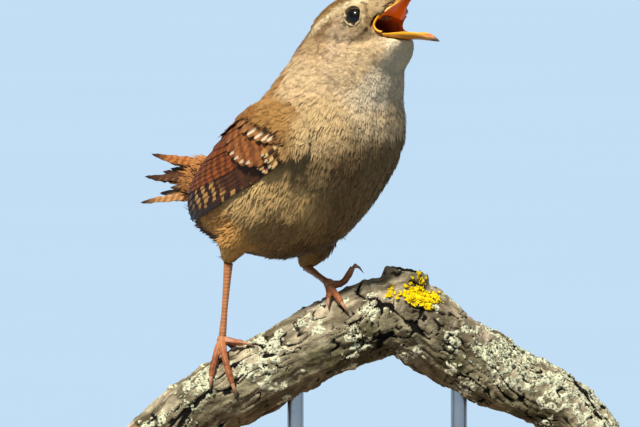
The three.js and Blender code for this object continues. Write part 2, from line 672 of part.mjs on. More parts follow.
// Mouth: wedge, throat, lining and gape rims
const wedgeShape = new THREE.Shape(MOUTH_WEDGE.map(([s, z]) => new THREE.Vector2(s, z)));
const wedgeGeometry = new THREE.ExtrudeGeometry(wedgeShape, { depth: WEDGE_WIDTH, bevelEnabled: false });
const wedgePosition = wedgeGeometry.getAttribute('position');
for (let i = 0; i < wedgePosition.count; i += 1) {
  const moved = at(wedgePosition.getX(i), wedgePosition.getZ(i) - WEDGE_WIDTH / 2, wedgePosition.getY(i));
  wedgePosition.setXYZ(i, moved.x, moved.y, moved.z);
}
const wedge = solidOf(wedgeGeometry);
const throat = ovalSolid(THROAT_ROWS, FACETS.mouth, { fine: 1 });
const gapes = [1, -1].map((side) => limb(
  GAPE_LINE.map(([s, r, z]) => at(s, side * r, z)), GAPE_LINE.map(() => GAPE_TUBE), FACETS.gape, 6,
));
const billRooms = [grown(billUpper), grown(billLower)];
const gapeRooms = gapes.map((gape) => grown(gape));
const liningOuter = ovalSolid(THROAT_ROWS, FACETS.mouth, { shrink: GAP, fine: 1 });
const liningInner = ovalSolid(
  THROAT_ROWS.map(([s, ...rest], index) => [s + (index ? 0 : LINING.open), ...rest]), FACETS.mouth,
  { shrink: GAP + LINING.thick, fine: 1 },
);
const lining = cut(liningOuter, [liningInner, ...billRooms, ...gapeRooms]);
place('mouth_lining', lining, 'mouth');
place('bill_upper', billUpper, 'billTop');
place('bill_lower', billLower, 'billLow');
gapes.forEach((gape, index) => {
  place(`gape_${['right', 'left'][index]}`, cut(gape, billRooms), 'gape');
});
const skull = profileSolid(SKULL_ROWS, 0, SKULL_ROWS.length - 1, HEAD_RING, SKULL_ENDS);
const jaw = profileSolid(JAW_ROWS, 0, JAW_ROWS.length - 1, HEAD_RING, JAW_ENDS);
const head = cut(joined([skull, jaw, ...eyes.map((eye) => eye.lid)]), [
  neckRoom, wedge, throat, ...billRooms, ...gapeRooms, ...eyes.map((eye) => eye.room),
]);
place('head', head, 'crown');
eyes.forEach(({ side, ball }) => place(`eye_${side > 0 ? 'right' : 'left'}`, ball, 'eye'));

// Legs, feet and claws
for (const [side, { thigh, ankle }] of Object.entries(LEGS)) {
  const thighSolid = limb(thigh.map(([s, r, z]) => at(s, r, z)), thigh.map((row) => row[3]), FACETS.thigh);
  const thighPart = cut(thighSolid, [trunkRoom]);
  place(`thigh_${side}`, thighPart, 'breast');

  const ankleAt = new THREE.Vector3(...ankle);
  const share = perchShare(ankle[0], ankle[2]);
  const middle = perchLine.getPointAt(share);
  const reach = ankleAt.distanceTo(middle);
  const startAngle = Math.asin(-ankle[1] / reach);
  const startHeight = reach - perchRadiusAt(share);
  const toePoint = (toe, step) => {
    const angle = THREE.MathUtils.lerp(startAngle, THREE.MathUtils.degToRad(toe.end), step);
    const drop = Math.max(0, 1 - step / TOE.land) ** TOE.fall;
    const bow = toe.arch * Math.sin(Math.PI * step) * TOE.bow;
    const height = TOE.rest + (startHeight - TOE.rest) * drop + bow + toe.raise * step ** 3;
    return perchPoint(share + (toe.drift * step ** TOE.spread) / perchLength, angle, height);
  };
  const joints = steps(0, 1, TOE.steps);
  const radii = joints.map((step) => (
    THREE.MathUtils.lerp(TOE.thick, TOE.tip, step) + (step % 0.5 ? TOE.swell : 0)
  ));
  const toes = TOES[side].map((toe) => limb(joints.map((step) => toePoint(toe, step)), radii, FACETS.toe, 5));
  const pad = solidOf(new THREE.SphereGeometry(PAD_RADIUS, 8, 6).translate(...ankle));
  const foot = cut(joined([...toes, pad]), [perchRoom]);
  place(`foot_${side}`, foot, 'leg');
  const footRoom = grown(foot);

  const heel = thigh[thigh.length - 1];
  const heelAt = at(heel[0], heel[1], heel[2]);
  const shankLine = TARSUS_ROWS.map(([step]) => heelAt.clone().lerp(ankleAt, step));
  const shank = limb(shankLine, TARSUS_ROWS.map((row) => row[1]), FACETS.tarsus, 5);
  const tarsus = cut(shank, [grown(thighSolid), trunkRoom, footRoom]);
  place(`tarsus_${side}`, tarsus, 'leg');

  TOES[side].forEach((toe, index) => {
    const tip = toePoint(toe, 1);
    const heading = toePoint(toe, 1).sub(toePoint(toe, 0.9)).normalize();
    const inward = perchLine.getPointAt(share + toe.drift / perchLength).sub(tip).normalize();
    const clawPoint = (step) => tip.clone()
      .addScaledVector(heading, step * toe.claw)
      .addScaledVector(inward, (CLAW.fall * toe.curl * step ** 2 - CLAW.rise * step) * toe.claw);
    const clawLine = CLAW_ROWS.map(([step]) => clawPoint(step));
    const claw = limb(clawLine, CLAW_ROWS.map((row) => row[1]), FACETS.claw, 3);
    place(`claw_${side}_${index + 1}`, cut(claw, [footRoom, perchRoom]), 'claw');
  });
}

export default part;
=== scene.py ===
"""Finished surfaces of a life-size museum wren that sings on a short cut of branch.

Shapes are worked out in millimetres and written in metres. The bird's own frame has s running forward along
its heading, r out to its right side and z up.
"""

from __future__ import annotations

import sys
import logging
import math
from dataclasses import dataclass, field
from enum import Enum
from typing import Sequence

import bpy
import numpy as np
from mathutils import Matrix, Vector
from mathutils.bvhtree import BVHTree
from mathutils.kdtree import KDTree


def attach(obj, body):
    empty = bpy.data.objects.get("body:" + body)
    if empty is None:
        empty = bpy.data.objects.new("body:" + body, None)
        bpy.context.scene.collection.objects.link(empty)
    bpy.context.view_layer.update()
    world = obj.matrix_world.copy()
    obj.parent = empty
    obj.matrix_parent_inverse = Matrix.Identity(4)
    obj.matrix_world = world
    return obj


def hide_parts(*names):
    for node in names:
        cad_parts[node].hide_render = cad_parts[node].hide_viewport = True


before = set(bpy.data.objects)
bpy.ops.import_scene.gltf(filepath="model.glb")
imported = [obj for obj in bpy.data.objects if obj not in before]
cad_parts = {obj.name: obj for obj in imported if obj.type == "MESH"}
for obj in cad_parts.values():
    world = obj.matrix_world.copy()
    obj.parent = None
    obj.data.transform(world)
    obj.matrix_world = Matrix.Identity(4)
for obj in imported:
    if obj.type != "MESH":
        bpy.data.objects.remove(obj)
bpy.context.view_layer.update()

log = logging.getLogger("wren")

Array = np.ndarray
Generator = np.random.Generator
Material = bpy.types.Material
Object = bpy.types.Object
Socket = bpy.types.NodeSocket

MM = 0.001
SEED = 4711
BODY = "root"
SIDES = {"right": 1, "left": -1}
UV_MAP = "OFBake"
PATCH = 0.003
HASH_AXES = np.array([374761393, 668265263, 2147483647])
HASH_MIX = 1274126177
TURN = 2 * math.pi


class Slot(Enum):
    """Material slot names for the pieces; settle takes them but does not use them."""

    BARK = "bark"
    LEG = "leg"
    CLAW = "claw"
    EYE = "eye"
    GAPE = "gape"
    MOUTH = "mouth"
    BILL_UPPER = "bill_upper"
    BILL_LOWER = "bill_lower"
    HEAD = "plumage_head"
    BODY = "plumage_body"
    WING = "plumage_wing"
    TAIL = "plumage_tail"


def tint(code: str) -> Array:
    """Linear red, green and blue of a six-digit colour code."""
    shares = np.array([int(code[k : k + 2], 16) for k in (0, 2, 4)]) / 255
    return np.where(shares <= 0.04045, shares / 12.92, ((shares + 0.055) / 1.055) ** 2.4)


def unit(vectors: Array) -> Array:
    """Vectors at length one."""
    return vectors / np.maximum(np.linalg.norm(vectors, axis=-1, keepdims=True), 1e-9)


def mix(first: Array, second: Array, share: Array) -> Array:
    """Rows of numbers between first at share 0 and second at share 1, with a share for each row."""
    return first + (second - first) * np.asarray(share, float)[..., None]


def painted(base: str, *coats: tuple[str, Array]) -> Array:
    """A colour with others laid over it in turn, each by its share at each point."""
    colour = tint(base)
    for code, share in coats:
        colour = mix(colour, tint(code), share)
    return colour


def ease(value: Array, low: float, high: float) -> Array:
    """Smooth step from 0 at low to 1 at high; low may be the larger one."""
    share = np.clip((np.asarray(value, float) - low) / (high - low), 0, 1)
    return share * share * (3 - 2 * share)


def smooth_rows(rows: Sequence[Sequence[float]], place: Array) -> Array:
    """Rows of numbers read at fractional row numbers, on one smooth curve.

    Args:
        rows: Rows of equal length.
        place: Row numbers, from 0 to the last.

    Returns:
        One row of numbers for each place.
    """
    table = np.asarray(rows, float)
    padded = np.vstack([2 * table[0] - table[1], table, 2 * table[-1] - table[-2]])
    place = np.clip(np.asarray(place, float), 0, len(table) - 1)
    first = np.minimum(place.astype(int), len(table) - 2)
    w = (place - first)[..., None]
    before, start, end, after = (padded[first + k] for k in range(4))
    leave, arrive = (end - before) / 2, (after - start) / 2
    cubic = 2 * start - 2 * end + leave + arrive
    square = 3 * end - 3 * start - 2 * leave - arrive
    return cubic * w**3 + square * w**2 + leave * w + start


def along_rows(rows: Sequence[Sequence[float]], shares: Array) -> Array:
    """Rows of numbers read at shares from 0 to 1 of the row count."""
    return smooth_rows(rows, np.asarray(shares, float) * (len(rows) - 1))


def noise(points: Array, size: float | Sequence[float], seed: int = 0) -> Array:
    """Smooth noise from -1 to 1 at points, with cells of a size.

    Args:
        points: Places, one row each.
        size: Cell size, the same for all axes or one for each.
        seed: Picks one of many noises.

    Returns:
        One number for each place.
    """
    cells = points / np.asarray(size, float)
    low = np.floor(cells).astype(np.int64)
    w = cells - low
    w = w * w * (3 - 2 * w)
    total = np.zeros(len(points))
    for corner in np.ndindex(2, 2, 2):
        spot = low + corner
        key = spot @ HASH_AXES + seed * HASH_MIX
        key = (key ^ (key >> 13)) * HASH_MIX
        value = ((key ^ (key >> 16)) & 0xFFFF) / 0x7FFF - 1
        total += value * np.prod(np.where(corner, w, 1 - w), axis=1)
    return total


def layered_noise(points: Array, size: float, octaves: int, seed: int = 0) -> Array:
    """Noise of several sizes, each half the size and strength of the one before."""
    layers = [noise(points, size / 2**k, seed + k) / 2**k for k in range(octaves)]
    return sum(layers) / (2 - 2.0 ** (1 - octaves))


def noise_rows(points: Array, size: float, octaves: int, seed: int) -> Array:
    """Three layered noises with following seeds, as the three numbers of a row for each point."""
    return np.stack([layered_noise(points, size, octaves, seed + k) for k in range(3)], 1)


@dataclass(frozen=True)
class BirdFrame:
    """The bird's own axes in the world: where they start, which way they turn and their lean."""

    x: float = -5.0
    y: float = -5.0
    turn: float = math.radians(-40)
    lean: float = 0.052

    def axes(self) -> Array:
        """Columns that turn s, r and z into world X, Y and Z."""
        cos, sin = math.cos(self.turn), math.sin(self.turn)
        return np.array([[cos, sin, 0], [sin, -cos, 0], [-sin * self.lean, cos * self.lean, 1]])

    def at(self, places: Array) -> Array:
        """World points of places given as s, r and z."""
        return np.asarray(places, float) @ self.axes().T + np.array([self.x, self.y, 0])

    def along(self, ways: Array) -> Array:
        """World directions of ways given as s, r and z."""
        return unit(np.asarray(ways, float) @ self.axes().T)

    def own(self, points: Array) -> Array:
        """Places as s, r and z of world points."""
        return (points - np.array([self.x, self.y, 0])) @ np.linalg.inv(self.axes()).T


BIRD = BirdFrame()


class Wiring:
    """A material whose nodes are wired with short calls."""

    def __init__(self, name: str) -> None:
        """Starts an empty material.

        Args:
            name: The material's name.
        """
        self.material = bpy.data.materials.new(name)
        self.material.use_nodes = True
        self.tree = self.material.node_tree
        self.tree.nodes.clear()

    def node(self, kind: str, inputs: dict | None = None, **settings: object) -> bpy.types.Node:
        """Adds a node.

        Args:
            kind: Its type, without the word that every shader node's type starts with.
            inputs: What its inputs are linked or set to.
            **settings: Values of its own fields.

        Returns:
            The node.
        """
        made = self.tree.nodes.new(f"ShaderNode{kind}")
        for key, value in settings.items():
            setattr(made, key, value)
        for key, value in (inputs or {}).items():
            self.feed(made.inputs[key], value)
        return made

    def feed(self, socket: Socket, value: object) -> None:
        """Links a socket to another one, or sets its constant.

        Args:
            socket: The input.
            value: An output, a linear colour or a plain value.
        """
        if isinstance(value, Socket):
            self.tree.links.new(value, socket)
        elif isinstance(value, Array):
            socket.default_value = (*value, 1.0)
        else:
            socket.default_value = value

    def attribute(self, name: str, output: str = "Fac") -> Socket:
        """Output of a mesh attribute: Fac, Vector or Color."""
        return self.node("Attribute", attribute_name=name).outputs[output]

    def axes(self, name: str) -> list[Socket]:
        """The three numbers of a vector attribute."""
        parts = self.node("SeparateXYZ", {0: self.attribute(name, "Vector")})
        return list(parts.outputs)

    def math(self, operation: str, *values: object) -> Socket:
        """Result of a math node."""
        return self.node("Math", dict(enumerate(values)), operation=operation).outputs[0]

    def scaled(self, value: object, gain: object, offset: object = None) -> Socket:
        """A value times a gain, plus an offset if one is given."""
        product = self.math("MULTIPLY", value, gain)
        return product if offset is None else self.math("ADD", offset, product)

    def step(self, value: object, low: float, high: float) -> Socket:
        """Smooth step from 0 at low to 1 at high; low may be the larger one."""
        inputs = {"Value": value, "From Min": low, "From Max": high}
        return self.node("MapRange", inputs, interpolation_type="SMOOTHSTEP").outputs[0]

    def blend(self, share: object, first: object, second: object, way: str = "MIX") -> Socket:
        """Mixes two colours.

        Args:
            share: 0 for the first colour and 1 for the second.
            first: A colour.
            second: Another colour.
            way: The mix node's way of blending.

        Returns:
            The mixed colour.
        """
        made = self.node("Mix", data_type="RGBA", blend_type=way)
        for place, value in ((0, share), (6, first), (7, second)):
            self.feed(made.inputs[place], value)
        return made.outputs[2]

    def times(self, colour: object, other: object) -> Socket:
        """The product of two colours."""
        return self.blend(1.0, colour, other, "MULTIPLY")

    def toned(self, colour: object, pattern: object, low: float, span: float) -> Socket:
        """A colour made darker and lighter by a pattern, from low to low plus span."""
        tone = self.scaled(pattern, span, low)
        return self.times(colour, self.vector(tone, tone, tone))

    def vector(self, *values: object) -> Socket:
        """A vector made of three numbers."""
        return self.node("CombineXYZ", dict(enumerate(values))).outputs[0]

    def place(self, scale: tuple[float, float, float] | None = None) -> Socket:
        """The object's own coordinates, scaled along each axis if a scale is given."""
        own = self.node("TexCoord").outputs["Object"]
        return own if scale is None else self.node("Mapping", {"Vector": own, "Scale": scale}).outputs[0]

    def noise(self, scale: float, detail: float = 3.0, vector: object = None) -> Socket:
        """Noise from 0 to 1, on the object's own coordinates unless a vector is given."""
        at = self.place() if vector is None else vector
        return self.node("TexNoise", {"Vector": at, "Scale": scale, "Detail": detail}).outputs[0]

    def bump(self, height: object, strength: float, distance: float) -> Socket:
        """Normal of a height in millimetres."""
        inputs = {"Height": height, "Strength": strength, "Distance": distance * MM}
        return self.node("Bump", inputs).outputs[0]

    def finish(self, colour: object, roughness: object, normal: object = None, **rest: float) -> Material:
        """Ends the wiring in a surface shader.

        Args:
            colour: Base colour.
            roughness: Roughness.
            normal: Normal, or None for the plain one.
            **rest: Constants by the shader's input names, with _ for a space.

        Returns:
            The finished material.
        """
        shader = self.node("BsdfPrincipled", {"Base Color": colour, "Roughness": roughness})
        if normal is not None:
            self.feed(shader.inputs["Normal"], normal)
        for name, value in rest.items():
            shader.inputs[name.replace("_", " ")].default_value = value
        self.node("OutputMaterial", {"Surface": shader.outputs[0]})
        return self.material


@dataclass(frozen=True)
class Plumage:
    """Small body feathers: pigment by place, faint bars, dark and pale flecks, and fine barbs."""

    name: str = "plumage"
    bars: float = 2.2
    bar_strength: float = 0.8
    wander: float = 1.1
    wander_scale: float = 380
    fleck_scale: float = 620
    glint_scale: float = 540
    dark: float = 0.32
    pale: float = 1.5
    strand_scale: tuple[float, float, float] = (9, 2.5, 90)
    roughness: float = 0.8

    def material(self) -> Material:
        """Wires the finish.

        Returns:
            The material; it reads the attributes pigment, vane and marks.
        """
        w = Wiring(self.name)
        vane = w.axes("vane")
        barring, speckle, _ = w.axes("marks")
        pigment = w.attribute("pigment", "Color")
        drift = w.noise(self.wander_scale, 2)
        phase = w.math("ADD", w.scaled(vane[1], self.bars), w.scaled(drift, self.wander))
        wave = w.math("SINE", w.scaled(phase, TURN))
        bar = w.scaled(w.step(wave, 0.1, 0.85), barring)
        fleck = w.scaled(w.step(w.noise(self.fleck_scale, 3), 0.5, 0.62), speckle)
        shade = w.math("MAXIMUM", w.scaled(bar, self.bar_strength), fleck)
        colour = w.blend(shade, pigment, w.times(pigment, np.full(3, self.dark)))
        glint = w.scaled(w.step(w.noise(self.glint_scale, 3), 0.53, 0.66), speckle)
        colour = w.blend(w.scaled(glint, 0.8), colour, w.times(pigment, np.full(3, self.pale)))
        fibre = w.vector(*(w.scaled(value, scale) for value, scale in zip(vane, self.strand_scale)))
        strands = w.noise(1.0, 2, fibre)
        colour = w.toned(colour, strands, 0.84, 0.32)
        return w.finish(colour, self.roughness, w.bump(strands, 0.5, 0.05), Specular_IOR_Level=0.2)


@dataclass(frozen=True)
class BarredVane:
    """Flight feathers and coverts: dark bars, checked outer web, pale tip streak, shaft and barbs."""

    name: str = "barred_vane"
    bar: str = "2e190c"
    white: str = "e8d8b8"
    shaft: str = "4a2a12"
    slant: float = -0.2
    wobble: float = 0.9
    wobble_scale: float = 480
    barbs_per_bar: float = 15.6
    barb_slant: float = 8.84
    roughness: float = 0.6

    def material(self) -> Material:
        """Wires the finish.

        Returns:
            The material; it reads the attributes pigment, edge, vane, marks and streak.
        """
        w = Wiring(self.name)
        across, _, phase = w.axes("vane")
        barring, checks, tip = w.axes("marks")
        side = w.math("ABSOLUTE", across)
        wobble = w.scaled(w.math("SUBTRACT", w.noise(self.wobble_scale, 3), 0.5), self.wobble)
        slant = w.math("ADD", w.scaled(side, self.slant), wobble)
        wave = w.math("SINE", w.scaled(w.math("ADD", phase, slant), TURN))
        bar = w.scaled(w.step(wave, -0.15, 0.45), barring)
        colour = w.blend(bar, w.attribute("pigment", "Color"), tint(self.bar))
        check = w.blend(w.step(wave, -0.4, -0.15), w.attribute("edge", "Color"), tint(self.bar))
        colour = w.blend(w.scaled(w.step(across, 0.1, 0.3), checks), colour, check)
        streak = w.scaled(w.step(w.attribute("streak"), 0.0, 0.2), w.step(side, 0.36, 0.16))
        colour = w.blend(w.scaled(streak, tip), colour, tint(self.white))
        colour = w.blend(w.scaled(w.step(side, 0.09, 0.03), 0.7), colour, tint(self.shaft))
        lean = w.math("SUBTRACT", w.scaled(phase, self.barbs_per_bar), w.scaled(side, self.barb_slant))
        barbs = w.noise(1.0, 2, w.vector(lean, w.scaled(side, 0.7), across))
        colour = w.toned(colour, barbs, 0.72, 0.56)
        return w.finish(colour, self.roughness, w.bump(barbs, 0.6, 0.06), Specular_IOR_Level=0.25)


@dataclass(frozen=True)
class Horn:
    """Bill, gape, claws and other bare parts: pigment by place, fine streaks and a soft gloss."""

    name: str
    roughness: float = 0.38
    uneven: float = 0.16
    coarse_scale: float = 315
    fine_scale: float = 1800
    contrast: float = 0.22
    relief: float = 0.03
    subsurface: float = 0.0

    def material(self) -> Material:
        """Wires the finish.

        Returns:
            The material; it reads the attribute pigment.
        """
        w = Wiring(self.name)
        coarse, fine = w.noise(self.coarse_scale, 3), w.noise(self.fine_scale, 2)
        colour = w.toned(w.attribute("pigment", "Color"), coarse, 1 - self.contrast / 2, self.contrast)
        rough = w.scaled(fine, self.uneven, self.roughness - self.uneven / 2)
        return w.finish(
            colour, rough, w.bump(fine, 0.5, self.relief),
            Specular_IOR_Level=0.5, Subsurface_Weight=self.subsurface, Subsurface_Scale=0.001,
        )


@dataclass(frozen=True)
class EyeGloss:
    """A wet dark eye: black pupil in a deep brown iris under a clear coat."""

    name: str = "eye_gloss"
    pupil: str = "020202"
    iris: str = "120a06"
    fibre_scale: float = 2600

    def material(self) -> Material:
        """Wires the finish.

        Returns:
            The material; it reads the attribute turn, 1 on the eye's axis.
        """
        w = Wiring(self.name)
        ring = w.step(w.attribute("turn"), 0.9, 0.93)
        fibres = w.noise(self.fibre_scale, 3)
        iris = w.blend(fibres, tint(self.iris), tint(self.pupil))
        colour = w.blend(ring, iris, tint(self.pupil))
        return w.finish(
            colour, 0.35, w.bump(fibres, 0.1, 0.01),
            Specular_IOR_Level=0.1, Coat_Weight=1.0, Coat_Roughness=0.03, Coat_IOR=1.3,
        )


@dataclass(frozen=True)
class BarkFinish:
    """Weathered bark: grey ridges, dark cracks, pale crusts and cut ends, with painted shade in cracks,
    hollows and on the lower front side.
    """

    name: str = "bark_weathered"
    ridge: str = "b3a78b"
    hollow: str = "564c3a"
    bare: str = "c6b69e"
    moss: str = "4e4f2f"
    # Near-black of the cracks: partly their own dark, partly painted shade.
    crack: str = "0f0c09"
    crust: str = "ced0b2"
    heart: str = "b08d63"
    patch_scale: float = 90
    fine_scale: float = 520
    grit_scale: float = 1700

    def material(self) -> Material:
        """Wires the finish.

        Returns:
            The material; it reads one attribute for each kind of patch.
        """
        w = Wiring(self.name)
        patches, fine = w.noise(self.patch_scale, 5), w.noise(self.fine_scale, 5)
        grit = w.noise(self.grit_scale, 3)
        colour = w.blend(w.step(patches, 0.38, 0.58), tint(self.hollow), tint(self.ridge))
        colour = w.blend(w.scaled(w.attribute("bare"), 0.7), colour, tint(self.bare))
        # Painted shade: the dark olive colour covers random moss patches and also darkens the lower front
        # side of the branch.
        colour = w.blend(w.scaled(w.attribute("moss"), 0.55), colour, tint(self.moss))
        # Painted shade: the recessed hollows between bark plates are darkened, partly also their own darker
        # bark.
        colour = w.blend(w.attribute("hollow"), colour, tint(self.hollow))
        crusts = w.blend(w.step(grit, 0.34, 0.52), tint(self.hollow), tint(self.crust))
        edge = w.scaled(w.math("SUBTRACT", fine, 0.5), 1.6, w.attribute("crust"))
        colour = w.blend(w.step(edge, 0.4, 0.62), colour, crusts)
        # Cracks painted near-black: partly the cracks' own dark, partly painted shade in them.
        colour = w.blend(w.step(w.attribute("crack"), 0.2, 0.7), colour, tint(self.crack))
        rings = w.math("SINE", w.scaled(w.attribute("ring"), TURN))
        wood = w.blend(w.step(rings, -0.8, 0.8), tint(self.heart), tint(self.bare))
        colour = w.toned(w.blend(w.attribute("cut"), colour, wood), fine, 0.22, 1.55)
        relief = w.scaled(grit, 0.35, fine)
        return w.finish(colour, 0.95, w.bump(relief, 1.0, 0.9), Specular_IOR_Level=0.15)


@dataclass(frozen=True)
class LichenFinish:
    """Leafy lichen: a pale rim, a deeper middle and a powdery surface."""

    name: str
    rim: str
    middle: str
    powder_scale: float = 2200

    def material(self) -> Material:
        """Wires the finish.

        Returns:
            The material; it reads the attribute vane.
        """
        w = Wiring(self.name)
        powder = w.noise(self.powder_scale, 3)
        spread = w.scaled(powder, 0.3, w.axes("vane")[1])
        colour = w.blend(w.step(spread, 0.5, 1.1), tint(self.middle), tint(self.rim))
        colour = w.toned(colour, powder, 0.75, 0.5)
        return w.finish(colour, 0.9, w.bump(powder, 0.6, 0.1), Specular_IOR_Level=0.2)


@dataclass(frozen=True)
class OakFinish:
    """Oiled oak: long grain lines, pores and growth bands."""

    name: str = "oak_oiled"
    light: str = "b98d5c"
    dark: str = "7d5632"
    stretch: tuple[float, float, float] = (0.06, 1.0, 1.0)
    band_scale: float = 130
    pore_scale: float = 1400

    def material(self) -> Material:
        """Wires the finish.

        Returns:
            The material, with its grain along X.
        """
        w = Wiring(self.name)
        stretched = w.place(self.stretch)
        bands, pores = w.noise(self.band_scale, 4, stretched), w.noise(self.pore_scale, 2, stretched)
        colour = w.blend(w.step(bands, 0.35, 0.65), tint(self.dark), tint(self.light))
        colour = w.blend(w.scaled(w.step(pores, 0.6, 0.7), 0.6), colour, tint(self.dark))
        return w.finish(
            colour, w.scaled(pores, 0.2, 0.38), w.bump(pores, 0.4, 0.1),
            Coat_Weight=0.15, Coat_Roughness=0.3,
        )


@dataclass(frozen=True)
class SteelFinish:
    """Brushed steel with fine turning marks."""

    name: str = "steel_brushed"
    colour: str = "b4b7ba"
    dull: str = "7d8084"
    stretch: tuple[float, float, float] = (0.3, 0.3, 8.0)
    mark_scale: float = 900

    def material(self) -> Material:
        """Wires the finish.

        Returns:
            The material, with its marks round Z.
        """
        w = Wiring(self.name)
        marks = w.noise(self.mark_scale, 3, w.place(self.stretch))
        colour = w.blend(w.scaled(marks, 0.3), tint(self.colour), tint(self.dull))
        return w.finish(colour, w.scaled(marks, 0.16, 0.24), w.bump(marks, 0.3, 0.02), Metallic=1.0)


@dataclass(frozen=True)
class FloorFinish:
    """Plain pale studio floor with a faint unevenness."""

    name: str = "floor_pale"
    colour: str = "9fb9d3"

    def material(self) -> Material:
        """Wires the finish."""
        w = Wiring(self.name)
        return w.finish(w.toned(tint(self.colour), w.noise(3, 2), 0.98, 0.04), 0.95, Specular_IOR_Level=0.1)


def new_piece(
    name: str,
    points: Array,
    faces: Sequence[Array],
    material: Material,
    values: dict[str, Array] | None = None,
    bake_map: Array | None = None,
) -> Object:
    """Makes a mesh object from arrays.

    Args:
        name: The piece's name.
        points: World points in millimetres.
        faces: Blocks of faces, each block with one corner count.
        material: Its finish.
        values: Attributes by name, one number, three numbers or one colour for each point.
        bake_map: Map place of each point for the baked finish, or None.

    Returns:
        The object, linked to the scene.
    """
    mesh = bpy.data.meshes.new(name)
    sizes = np.concatenate([np.full(len(block), block.shape[1]) for block in faces])
    corners = np.concatenate([block.ravel() for block in faces]).astype(np.int32)
    starts = np.concatenate([[0], np.cumsum(sizes)[:-1]]).astype(np.int32)
    mesh.vertices.add(len(points))
    mesh.vertices.foreach_set("co", (np.asarray(points) * MM).astype(np.float32).ravel())
    mesh.loops.add(len(corners))
    mesh.loops.foreach_set("vertex_index", corners)
    mesh.polygons.add(len(sizes))
    mesh.polygons.foreach_set("loop_start", starts)
    mesh.update(calc_edges=True)
    mesh.shade_smooth()
    kinds = {1: ("FLOAT", "value"), 2: ("FLOAT_VECTOR", "vector")}
    for key, rows in (values or {}).items():
        rows = np.asarray(rows, np.float32)
        if key in ("pigment", "edge"):
            rows = np.hstack([rows, np.ones((len(rows), 1), np.float32)])
            kind, slot = "FLOAT_COLOR", "color"
        else:
            kind, slot = kinds[rows.ndim]
        mesh.attributes.new(key, kind, "POINT").data.foreach_set(slot, rows.ravel())
    if bake_map is not None:
        layer = mesh.uv_layers.new(name=UV_MAP)
        layer.data.foreach_set("uv", np.asarray(bake_map, np.float32)[corners].ravel())
    mesh.materials.append(material)
    piece = bpy.data.objects.new(name, mesh)
    bpy.context.scene.collection.objects.link(piece)
    return piece


def settle(piece: Object, slot: Slot, *nodes: str) -> None:
    """Puts a piece on the body, hides the frame nodes it stands for and logs its face count.

    Args:
        piece: The piece.
        slot: Its material slot; not used.
        *nodes: The frame nodes that it stands for.
    """
    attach(piece, BODY)
    if nodes:
        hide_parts(*nodes)
    log.info("%s: %d faces", piece.name, len(piece.data.polygons))


def node_mesh(name: str) -> tuple[Array, Array]:
    """Reads a frame node.

    Args:
        name: The node.

    Returns:
        Its welded points in millimetres and its triangles.
    """
    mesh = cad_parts[name].data
    mesh.calc_loop_triangles()
    points = np.empty(len(mesh.vertices) * 3)
    mesh.vertices.foreach_get("co", points)
    triangles = np.empty(len(mesh.loop_triangles) * 3, int)
    mesh.loop_triangles.foreach_get("vertices", triangles)
    points = points.reshape(-1, 3) / MM
    _, first, same = np.unique(np.round(points, 3), axis=0, return_index=True, return_inverse=True)
    triangles = same.ravel()[triangles].reshape(-1, 3)
    spread = np.sort(triangles, axis=1)
    whole = (spread[:, 0] < spread[:, 1]) & (spread[:, 1] < spread[:, 2])
    return points[first], triangles[whole]


